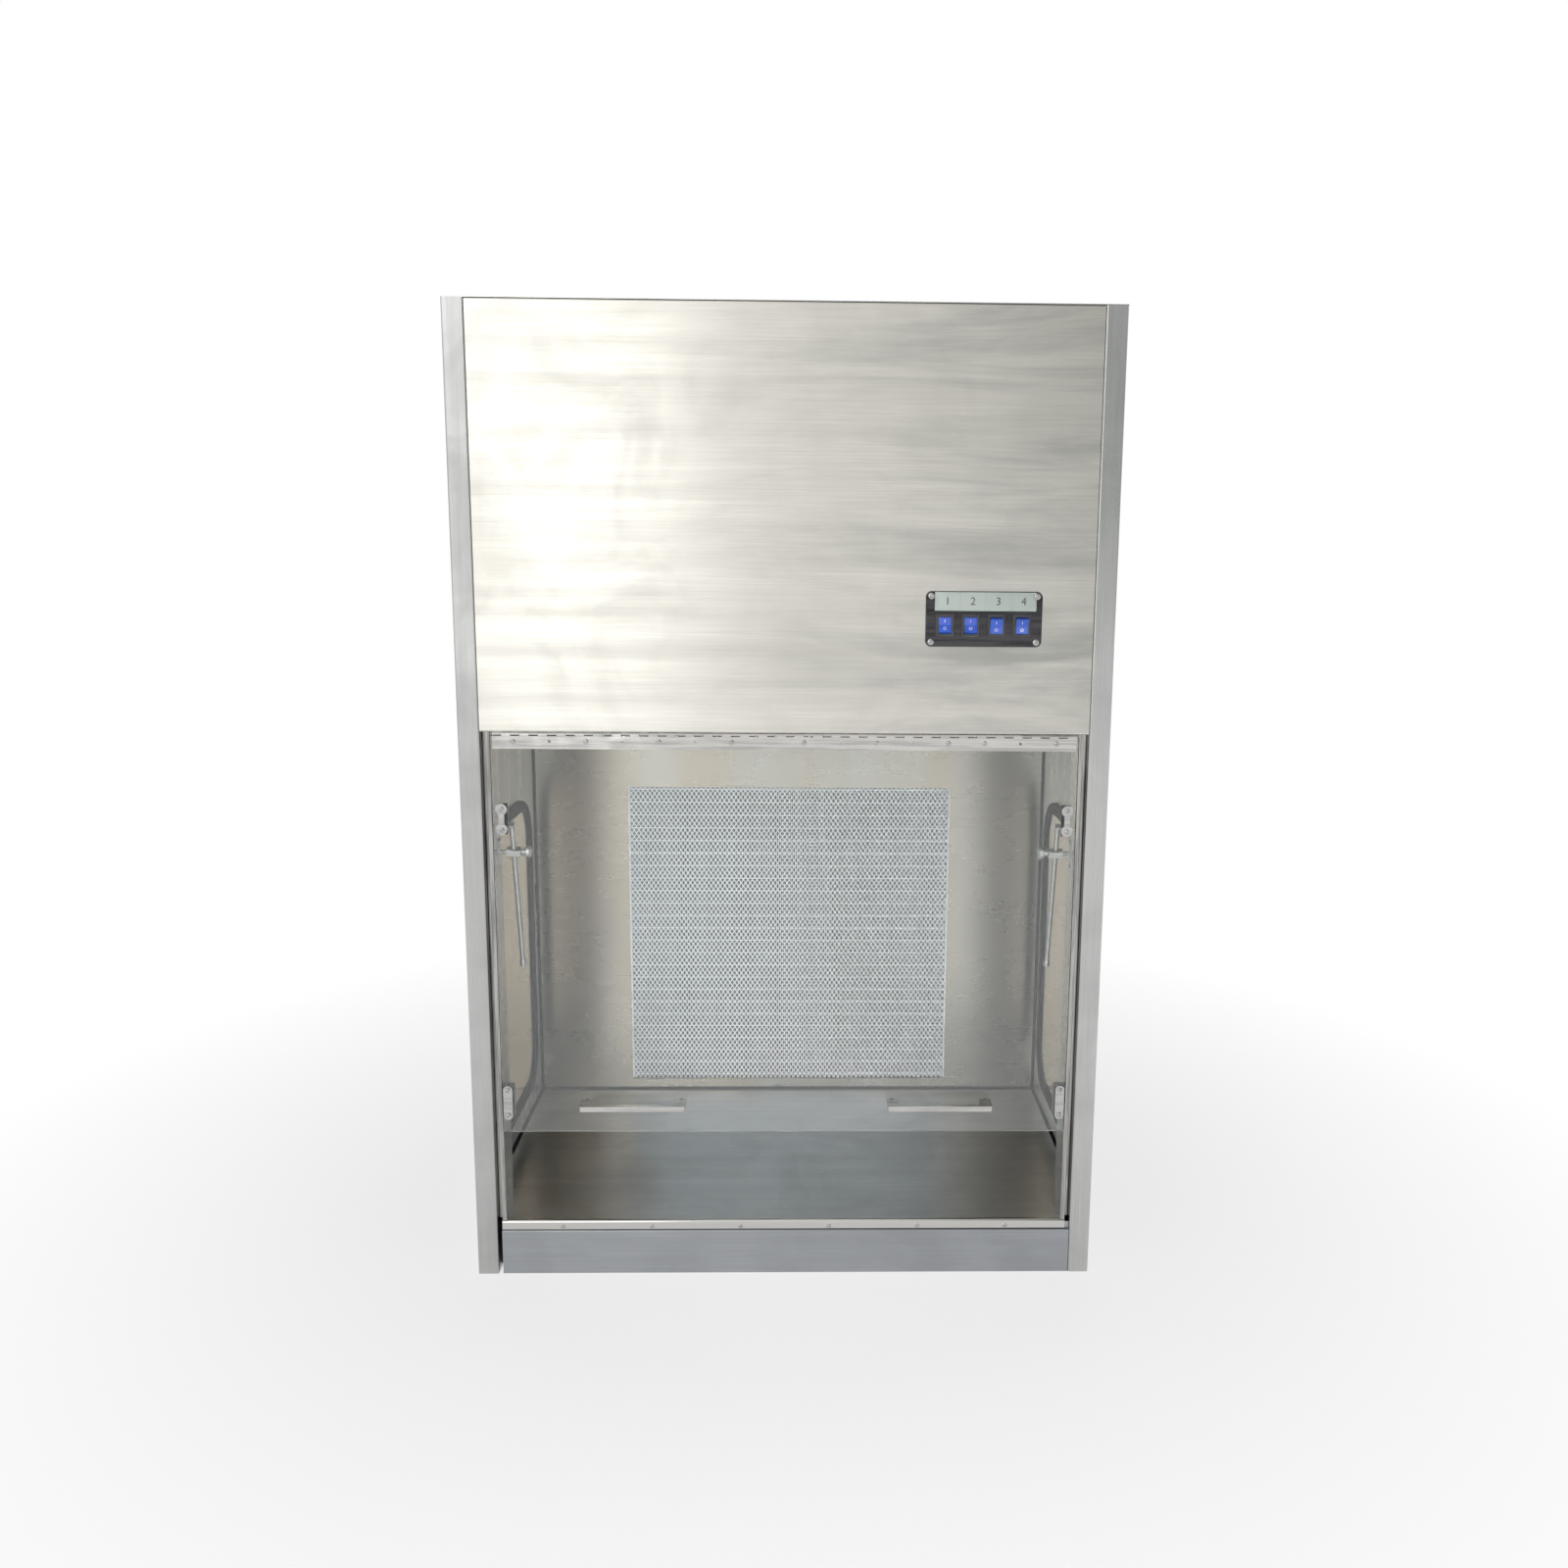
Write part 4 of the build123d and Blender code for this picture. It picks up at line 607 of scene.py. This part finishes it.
def grow(name, start, tree, values):
    """Runs a tree on a starting mesh and keeps the plain mesh that comes out."""
    made = as_object(name, start)
    run = made.modifiers.new("repeat", "NODES")
    run.node_group = tree
    for item in tree.interface.items_tree:
        if item.item_type == "SOCKET" and item.in_out == "INPUT" and item.name in values:
            run[item.identifier] = values[item.name]
    bpy.context.view_layer.update()
    settled = made.evaluated_get(bpy.context.evaluated_depsgraph_get())
    mesh = bpy.data.meshes.new_from_object(settled)
    made.modifiers.clear()
    made.data = mesh
    return made


def helper(name, mesh):
    """A shape that a tree repeats, kept out of the picture."""
    made = as_object(name, mesh)
    made.hide_render = True
    made.hide_viewport = True
    return made


def discard(*helpers):
    """Takes away shapes that were only there to be repeated."""
    for made in helpers:
        bpy.data.objects.remove(made)


def ring_of(shape, radius, y, count, turn=0.0):
    """A ring of vertices about the Y axis."""
    return [shape.verts.new((radius * cos(turn + 2 * pi * i / count), y,
                             radius * sin(turn + 2 * pi * i / count))) for i in range(count)]


def skin(shape, first, second):
    """Faces between two rings of the same count."""
    count = len(first)
    for i in range(count):
        j = (i + 1) % count
        shape.faces.new((first[i], first[j], second[j], second[i]))


def loop_edges(shape, ring):
    """The edges round a ring, made where they are missing."""
    edges = []
    for i, vertex in enumerate(ring):
        following = ring[(i + 1) % len(ring)]
        edges.append(shape.edges.get((vertex, following)) or shape.edges.new((vertex, following)))
    return edges


def cross_ring(shape, reach, half, y):
    """The outline of a cross recess."""
    outline = [(reach, -half), (reach, half), (half, half), (half, reach),
               (-half, reach), (-half, half), (-reach, half), (-reach, -half),
               (-half, -half), (-half, -reach), (half, -reach), (half, -half)]
    return [shape.verts.new((x, y, z)) for x, z in outline]


def screw_mesh(name, head, length, nut_at):
    """A pan-head screw along Y with a cross recess, head towards the front, and its nut behind."""
    shape = bmesh.new()
    foot = ring_of(shape, head, 0.0, screw_sides)
    rings = [foot] + [ring_of(shape, head * r, -head_height * y, screw_sides)
                      for r, y in ((1.0, 0.45), (0.93, 0.72), (0.80, 0.90), (0.62, 1.0))]
    for low, high in zip(rings, rings[1:]):
        skin(shape, low, high)
    mouth = cross_ring(shape, 0.48 * head, 0.13 * head, -head_height)
    floor = cross_ring(shape, 0.34 * head, 0.09 * head, -0.35 * head_height)
    bmesh.ops.triangle_fill(shape, use_beauty=True,
                            edges=loop_edges(shape, rings[-1]) + loop_edges(shape, mouth))
    skin(shape, mouth, floor)
    shape.faces.new(floor)
    neck = ring_of(shape, shank_radius, 0.0, screw_sides)
    tip = ring_of(shape, shank_radius, length, screw_sides)
    skin(shape, foot, neck)
    skin(shape, neck, tip)
    shape.faces.new(tip)
    if nut_at is not None:
        ends = (nut_at, nut_at + nut_thickness)
        outer = [ring_of(shape, nut_radius, y, 6) for y in ends]
        inner = [ring_of(shape, shank_radius + nut_play, y, 6) for y in ends]
        skin(shape, outer[0], outer[1])
        skin(shape, inner[0], inner[1])
        skin(shape, outer[0], inner[0])
        skin(shape, outer[1], inner[1])
    return mesh_from(name, shape)


def screw_tree():
    """Sets one screw on each point, its slot turned at random, facing the front or the rear."""
    tree, given, result = new_tree("set_screws", [
        ("Screw", "NodeSocketObject"), ("Seed", "NodeSocketInt"), ("Finish", "NodeSocketMaterial")])
    shape = add(tree, "GeometryNodeObjectInfo", {"Object": given.outputs["Screw"]})
    slot = add(tree, "FunctionNodeRandomValue", {"Seed": given.outputs["Seed"]}, data_type="FLOAT")
    slot.inputs[2].default_value, slot.inputs[3].default_value = 0.0, pi / 2
    facing = add(tree, "GeometryNodeInputNamedAttribute", {"Name": "faces_rear"}, data_type="FLOAT")
    about = maths(tree, "MULTIPLY", facing.outputs["Attribute"], pi)
    turn = add(tree, "ShaderNodeCombineXYZ", {"Y": slot.outputs[1], "Z": about})
    placed = add(tree, "GeometryNodeInstanceOnPoints", {"Points": given.outputs["Geometry"],
                                                        "Instance": shape.outputs["Geometry"],
                                                        "Rotation": turn.outputs["Vector"]})
    close_tree(tree, given, result, placed.outputs["Instances"])
    return tree


def points_mesh(name, places, rear):
    """Loose points that a tree sets its screws on."""
    mesh = bpy.data.meshes.new(name)
    mesh.from_pydata(places, [], [])
    facing = mesh.attributes.new("faces_rear", "FLOAT", "POINT")
    for i in range(len(places)):
        facing.data[i].value = 1.0 if rear else 0.0
    return mesh


def joined(name, parts):
    """Several objects' meshes as one object."""
    shape = bmesh.new()
    for part in parts:
        shape.from_mesh(part.data)
    mesh = bpy.data.meshes.new(name)
    shape.to_mesh(mesh)
    shape.free()
    for material in parts[0].data.materials:
        mesh.materials.append(material)
    discard(*parts)
    return as_object(name, mesh)


def set_screws(tree, name, body, finish, batches):
    """Screws of one group as one piece, which stands for the frame's own."""
    parts = []
    for i, (places, head, length, nut_at, rear) in enumerate(batches):
        screw = helper("screw_shape", screw_mesh("screw_shape", head, length, nut_at))
        parts.append(grow(name + "_" + str(i), points_mesh(name, places, rear), tree,
                          {"Screw": screw, "Seed": first_screw_seed + i, "Finish": FINISH[finish]}))
        discard(screw)
    piece = joined("dressed_" + name, parts)
    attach(piece, body)
    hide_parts(name)


def fasteners():
    """Every visible screw with its recess."""
    tree = screw_tree()
    hinge = [((i - (hinge_holes - 1) / 2) * hinge_hole_pitch, leaf_front, hinge_screw_z)
             for i in hinge_screw_holes]
    set_screws(tree, "hinge_screws", "sash", "nickel",
               [(hinge, small_head, 8.6 * MM, pane_back - leaf_front, False)])
    seat = pane_front - strike_sheet
    plates = [(side * x, seat, z + k * spacing / 2)
              for x, z, spacing in ((strike_x, strike_z, strike_spacing),
                                    (bracket_x, bracket_z, bracket_spacing))
              for side in (-1, 1) for k in (-1, 1)]
    grips = [(x + end * handle_screw_reach, pane_back, handle_screw_z)
             for x in handle_centres for end in (-1, 1)]
    set_screws(tree, "sash_screws", "sash", "nickel",
               [(plates, small_head, 8.0 * MM, None, False), (grips, small_head, 14.0 * MM, None, True)])
    plate_face = front - plate_sheet
    corners = [(plate_x + i * plate_screw_x, plate_face - (card_sheet if i > 0 and k > 0 else 0.0),
                plate_z + k * plate_screw_z) for i in (-1, 1) for k in (-1, 1)]
    set_screws(tree, "switch_plate_screws", "cabinet", "nickel",
               [(corners, large_head, 6.0 * MM, None, False)])
    step = (cabinet_height - 2 * cover_screw_end) / (cover_screw_rows - 1)
    cover = [(side * cover_screw_x, back, cover_screw_end + i * step)
             for i in range(cover_screw_rows) for side in (-1, 1)]
    set_screws(tree, "rear_cover_screws", "cabinet", "zinc",
               [(cover, small_head, 3.6 * MM, None, True)])


# Filter

def lozenge_mesh(wide, tall, strand, thick):
    """One opening of the expanded sheet with its four strands."""
    shape = bmesh.new()
    inner_wide, inner_tall = wide / 2 - strand, tall / 2 - strand * tall / wide
    rings = []
    for w, h, y in ((wide / 2, tall / 2, 0.0), (inner_wide, inner_tall, 0.0),
                    (inner_wide, inner_tall, thick), (wide / 2, tall / 2, thick)):
        rings.append([shape.verts.new(p) for p in ((w, y, 0), (0, y, h), (-w, y, 0), (0, y, -h))])
    for first, second in zip(rings, rings[1:]):
        skin(shape, first, second)
    return mesh_from("lozenge", shape)


def border_mesh(half, band, y0, y1):
    """Flat frame round the expanded sheet."""
    shape = bmesh.new()
    rings = []
    for reach, y in ((half, y0), (half - band, y0), (half - band, y1), (half, y1)):
        rings.append([shape.verts.new((x * reach, y, filter_z + z * reach))
                      for x, z in ((1, 1), (-1, 1), (-1, -1), (1, -1))])
    for i in range(4):
        skin(shape, rings[i], rings[(i + 1) % 4])
    return mesh_from("guard_border", shape)


def guard_tree():
    """Two staggered fields of lozenges inside a flat border."""
    tree, given, result = new_tree("expanded_sheet", [
        ("Lozenge", "NodeSocketObject"), ("Width", "NodeSocketFloat"), ("Height", "NodeSocketFloat"),
        ("Columns", "NodeSocketInt"), ("Rows", "NodeSocketInt"), ("Place", "NodeSocketVector"),
        ("Finish", "NodeSocketMaterial")])
    shape = add(tree, "GeometryNodeObjectInfo", {"Object": given.outputs["Lozenge"]})
    joint = add(tree, "GeometryNodeJoinGeometry")
    tree.links.new(given.outputs["Geometry"], joint.inputs["Geometry"])
    for fewer in (0, 1):
        columns = maths(tree, "SUBTRACT", given.outputs["Columns"], float(fewer))
        rows = maths(tree, "SUBTRACT", given.outputs["Rows"], float(fewer))
        across = times(tree, given.outputs["Width"], maths(tree, "SUBTRACT", columns, 1.0))
        up = times(tree, given.outputs["Height"], maths(tree, "SUBTRACT", rows, 1.0))
        field = add(tree, "GeometryNodeMeshGrid", {"Size X": across, "Size Y": up,
                                                   "Vertices X": columns, "Vertices Y": rows})
        upright = add(tree, "GeometryNodeTransform", {"Geometry": field.outputs["Mesh"],
                                                      "Translation": given.outputs["Place"],
                                                      "Rotation": (pi / 2, 0.0, 0.0)})
        placed = add(tree, "GeometryNodeInstanceOnPoints", {"Points": upright.outputs["Geometry"],
                                                            "Instance": shape.outputs["Geometry"]})
        tree.links.new(placed.outputs["Instances"], joint.inputs["Geometry"])
    close_tree(tree, given, result, joint.outputs["Geometry"])
    return tree


def expanded_guard():
    """White expanded-metal sheet over the filter's face."""
    wide, tall = 2 * filter_half / guard_columns, 2 * filter_half / guard_rows
    lozenge = helper("lozenge_shape", lozenge_mesh(wide, tall, guard_strand, guard_mesh_thickness))
    border = border_mesh(filter_half, guard_border, guard_front - 0.1 * MM,
                         guard_front + guard_thickness)
    piece = grow("expanded_guard", border, guard_tree(),
                 {"Lozenge": lozenge, "Width": wide, "Height": tall, "Columns": guard_columns,
                  "Rows": guard_rows, "Place": (0.0, guard_front, filter_z), "Finish": FINISH["mesh"]})
    discard(lozenge)
    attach(piece, "cabinet")
    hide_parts("filter_guard")


def pleat_tree():
    """A sheet folded into close pleats, with level beads of glue across their tips."""
    tree, given, result = new_tree("pleated_pack", [
        ("Half Width", "NodeSocketFloat"), ("Height", "NodeSocketFloat"), ("Pleats", "NodeSocketInt"),
        ("Steps", "NodeSocketInt"), ("Depth", "NodeSocketFloat"), ("Paper", "NodeSocketFloat"),
        ("Beads", "NodeSocketInt"), ("Bead Radius", "NodeSocketFloat"), ("Place", "NodeSocketVector"),
        ("Finish", "NodeSocketMaterial")])
    half_width, height = given.outputs["Half Width"], given.outputs["Height"]
    width = times(tree, half_width, 2.0)
    spans = times(tree, given.outputs["Pleats"], given.outputs["Steps"])
    field = add(tree, "GeometryNodeMeshGrid", {"Size X": width, "Size Y": height, "Vertices Y": 2,
                                               "Vertices X": maths(tree, "ADD", spans, 1.0)})
    upright = add(tree, "GeometryNodeTransform", {"Geometry": field.outputs["Mesh"],
                                                  "Rotation": (pi / 2, 0.0, 0.0)})
    where = add(tree, "GeometryNodeInputPosition")
    across = along_axis(tree, where.outputs["Position"], "X")
    half_pitch = maths(tree, "DIVIDE", half_width, given.outputs["Pleats"])
    fold = maths(tree, "PINGPONG", maths(tree, "ADD", across, half_width), half_pitch)
    fold = maths(tree, "DIVIDE", fold, half_pitch)
    eased = add(tree, "ShaderNodeMapRange", {"Value": fold, "To Min": 0.0,
                                             "To Max": given.outputs["Depth"]},
                interpolation_type="SMOOTHSTEP")
    shift = add(tree, "ShaderNodeCombineXYZ", {"Y": eased.outputs["Result"]})
    folded = add(tree, "GeometryNodeSetPosition", {"Geometry": upright.outputs["Geometry"],
                                                   "Offset": shift.outputs["Vector"]})
    reach = add(tree, "ShaderNodeCombineXYZ", {"Y": given.outputs["Paper"]})
    thick = add(tree, "GeometryNodeExtrudeMesh", {"Mesh": folded.outputs["Geometry"],
                                                  "Offset": reach.outputs["Vector"],
                                                  "Offset Scale": 1.0, "Individual": False},
                mode="FACES")
    turned = add(tree, "GeometryNodeFlipFaces", {"Mesh": folded.outputs["Geometry"]})
    spacing = maths(tree, "DIVIDE", height, maths(tree, "ADD", given.outputs["Beads"], 1.0))
    low = maths(tree, "SUBTRACT", spacing, maths(tree, "DIVIDE", height, 2.0))
    start = add(tree, "ShaderNodeCombineXYZ", {"Z": low})
    step = add(tree, "ShaderNodeCombineXYZ", {"Z": spacing})
    ladder = add(tree, "GeometryNodeMeshLine", {"Count": given.outputs["Beads"],
                                                "Start Location": start.outputs["Vector"],
                                                "Offset": step.outputs["Vector"]})
    bead = add(tree, "GeometryNodeMeshCylinder", {"Vertices": 8, "Radius": given.outputs["Bead Radius"],
                                                  "Depth": width})
    laid = add(tree, "GeometryNodeInstanceOnPoints", {"Points": ladder.outputs["Mesh"],
                                                      "Instance": bead.outputs["Mesh"],
                                                      "Rotation": (0.0, pi / 2, 0.0)})
    pack = add(tree, "GeometryNodeJoinGeometry")
    for geometry in (thick.outputs["Mesh"], turned.outputs["Mesh"], laid.outputs["Instances"]):
        tree.links.new(geometry, pack.inputs["Geometry"])
    moved = add(tree, "GeometryNodeTransform", {"Geometry": pack.outputs["Geometry"],
                                                "Translation": given.outputs["Place"]})
    close_tree(tree, given, result, moved.outputs["Geometry"])
    return tree


def pleated_media():
    """Filter paper in close upright pleats."""
    start = bpy.data.meshes.new("no_start")
    piece = grow("pleated_media", start, pleat_tree(), {
        "Half Width": filter_half, "Height": 2 * filter_half, "Pleats": pleats, "Steps": pleat_steps,
        "Depth": media_back - media_front - bead_radius - paper_thickness, "Paper": paper_thickness,
        "Beads": glue_beads, "Bead Radius": bead_radius,
        "Place": (0.0, media_front + bead_radius, filter_z), "Finish": FINISH["paper"]})
    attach(piece, "cabinet")
    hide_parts("hepa_media")


# Markings

def lettered(name, text, size, place, finish, body):
    """A raised character on a surface, made a mesh before it is placed."""
    curve = bpy.data.curves.new(name, "FONT")
    curve.body = text
    curve.size = size
    curve.align_x = "CENTER"
    curve.align_y = "CENTER"
    curve.extrude = print_thickness
    curve.resolution_u = 4
    source = as_object(name + "_source", curve)
    bpy.context.view_layer.update()
    mesh = bpy.data.meshes.new_from_object(source.evaluated_get(bpy.context.evaluated_depsgraph_get()))
    bpy.data.objects.remove(source)
    mesh.transform(place)
    mesh.materials.clear()
    mesh.materials.append(FINISH[finish])
    piece = as_object(name, mesh)
    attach(piece, body)


def markings():
    """Numbers on the label cards, and the on and off marks of the rockers."""
    upright = Matrix.Rotation(pi / 2, 4, "X")
    face = front - plate_sheet - card_sheet
    for i in range(switch_count):
        shift = i - (switch_count - 1) / 2
        number, rocker = str(i + 1), "rocker_" + str(i + 1)
        place = Matrix.Translation((card_x + shift * card_pitch, face, card_z)) @ upright
        lettered("card_number_" + number, number, card_number_size, place, "ink", "cabinet")
        pressed = -rocker_throw if i < switch_count / 2 else rocker_throw
        axle = Matrix.Translation((switch_x + shift * switch_pitch, rocker_pivot_y, rocker_z))
        for mark, end, state in (("I", 1, "_on"), ("O", -1, "_off")):
            on_face = Matrix.Translation((0.0, rocker_face_y, end * rocker_mark_reach))
            on_face = on_face @ Matrix.Rotation(end * rocker_face_lean, 4, "X")
            place = axle @ Matrix.Rotation(pressed, 4, "X") @ on_face @ upright
            lettered(rocker + state, mark, rocker_mark_size, place, "print", rocker)


# Studio

def stage_floor():
    """Pale floor that keeps the shadow near the hood and runs out into white."""
    reach, fade_start, fade_end, nearest_white = 30.0, 0.6, 1.5, 0.72
    shape = bmesh.new()
    bmesh.ops.create_grid(shape, x_segments=1, y_segments=1, size=reach)
    floor = as_object("studio_floor", mesh_from("studio_floor", shape))
    material, tree, shader, where = new_material("studio_floor")
    flat = add(tree, "ShaderNodeVectorMath", {0: where}, operation="LENGTH")
    far = remap(tree, flat.outputs["Value"], fade_start, fade_end, nearest_white, 1.0)
    mottle = place_group(tree, MOTTLE, {"Vector": where, "Fineness": 60.0})
    pale = mix_colours(tree, mottle.outputs["Patches"], (0.88, 0.88, 0.88), (0.90, 0.90, 0.90))
    tree.links.new(pale, shader.inputs["Base Color"])
    set_plain(shader, {"Roughness": 0.9, "Specular IOR Level": 0.0})
    white = add(tree, "ShaderNodeEmission", {"Color": (1.0, 1.0, 1.0), "Strength": 1.0})
    seen = any_ray(tree, "Camera", "Glossy", "Transmission")
    blend = add(tree, "ShaderNodeMixShader", {"Fac": times(tree, far, seen)})
    tree.links.new(shader.outputs["BSDF"], blend.inputs[1])
    tree.links.new(white.outputs["Emission"], blend.inputs[2])
    tree.links.new(blend.outputs["Shader"], tree.nodes["Material Output"].inputs["Surface"])
    floor.data.materials.append(material)


def lamp(name, place, aim, wide, tall, power):
    """A soft white area lamp turned towards a point."""
    light = bpy.data.lights.new(name, "AREA")
    light.shape = "RECTANGLE"
    light.size, light.size_y = wide, tall
    light.energy = power
    made = as_object(name, light)
    made.location = place
    made.rotation_euler = (Vector(aim) - Vector(place)).to_track_quat("-Z", "Y").to_euler()
    return made


def studio_light():
    """Plain soft lamps, two of them for matt surfaces alone, and a pale surround."""
    lamp("key_lamp", (-1.9, -3.0, 2.6), (0.0, -0.2, 0.7), 1.6, 1.6, 8.0)
    lamp("fill_lamp", (2.4, -2.6, 1.9), (0.0, -0.2, 0.7), 1.6, 1.6, 4.0)
    low = lamp("low_front_lamp", (0.2, -3.4, 0.45), (0.0, 0.15, 0.40), 2.2, 0.8, 30.0)
    chamber = lamp("chamber_lamp", (0.1, -3.3, 0.50), (0.0, 0.20, 0.44), 0.6, 0.4, 4.5)
    chamber.data.spread = narrow_beam
    for hidden in (low, chamber):
        hidden.visible_glossy = False
        hidden.visible_transmission = False
    lamp("back_lamp", (0.6, 2.8, 2.6), (0.0, 0.2, 0.8), 1.8, 1.4, 10.0)
    lamp("strip_lamp", (-0.98, -4.0, 1.35), (-0.1, 0.0, 1.0), 0.95, 1.9, 8.5)
    world = bpy.data.worlds.new("pale_surround")
    bpy.context.scene.world = world
    world.use_nodes = True
    tree = world.node_tree
    direction = add(tree, "ShaderNodeTexCoord").outputs["Generated"]
    split = add(tree, "ShaderNodeSeparateXYZ", {"Vector": direction})
    # The room that the steel mirrors dims to the right behind the camera, then turns dark
    side = maths(tree, "DIVIDE", split.outputs["X"], maths(tree, "SUBTRACT", 0.2, split.outputs["Y"]))
    ahead = remap(tree, split.outputs["Y"], -0.6, 0.0, 1.0, 0.0)
    dim = times(tree, remap(tree, side, 0.0, 0.13, 0.0, 1.0), ahead)
    dark = times(tree, remap(tree, side, 0.13, 0.21, 0.0, 1.0), ahead)
    room = mix_colours(tree, dim, ROOM_PALE, ROOM_DIM)
    room = mix_colours(tree, dark, room, ROOM_DARK)
    mirrored = mix_colours(tree, any_ray(tree, "Glossy"), ROOM_LIGHT, room)
    seen = any_ray(tree, "Camera", "Transmission")
    colour = mix_colours(tree, seen, mirrored, (1.0, 1.0, 1.0))
    tree.links.new(colour, tree.nodes["Background"].inputs["Color"])


def camera():
    """Camera at the photograph's place and angle."""
    place = (0.025, -2.185, 1.0505)
    yaw, pitch, roll = radians(-1.333), radians(9.794), radians(0.478)
    ahead = Vector((-sin(yaw) * cos(pitch), cos(yaw) * cos(pitch), -sin(pitch)))
    level = Vector((cos(yaw), sin(yaw), 0.0))
    up = level.cross(ahead)
    right = cos(roll) * level + sin(roll) * up
    top = cos(roll) * up - sin(roll) * level
    view = bpy.data.cameras.new("view")
    view.lens = 30.823
    view.sensor_width = 36.0
    view.sensor_fit = "HORIZONTAL"
    view.shift_x = -0.0322
    made = as_object("view", view)
    turn = Matrix((right, top, -ahead)).transposed().to_4x4()
    made.matrix_world = Matrix.Translation(place) @ turn
    bpy.context.scene.camera = made
    bpy.context.scene.view_settings.view_transform = "Standard"


for spare in ("Cube", "Light", "Camera"):
    if spare in bpy.data.objects:
        bpy.data.objects.remove(bpy.data.objects[spare])

camera()
dress_nodes()
stage_floor()
studio_light()
fasteners()
expanded_guard()
pleated_media()
markings()
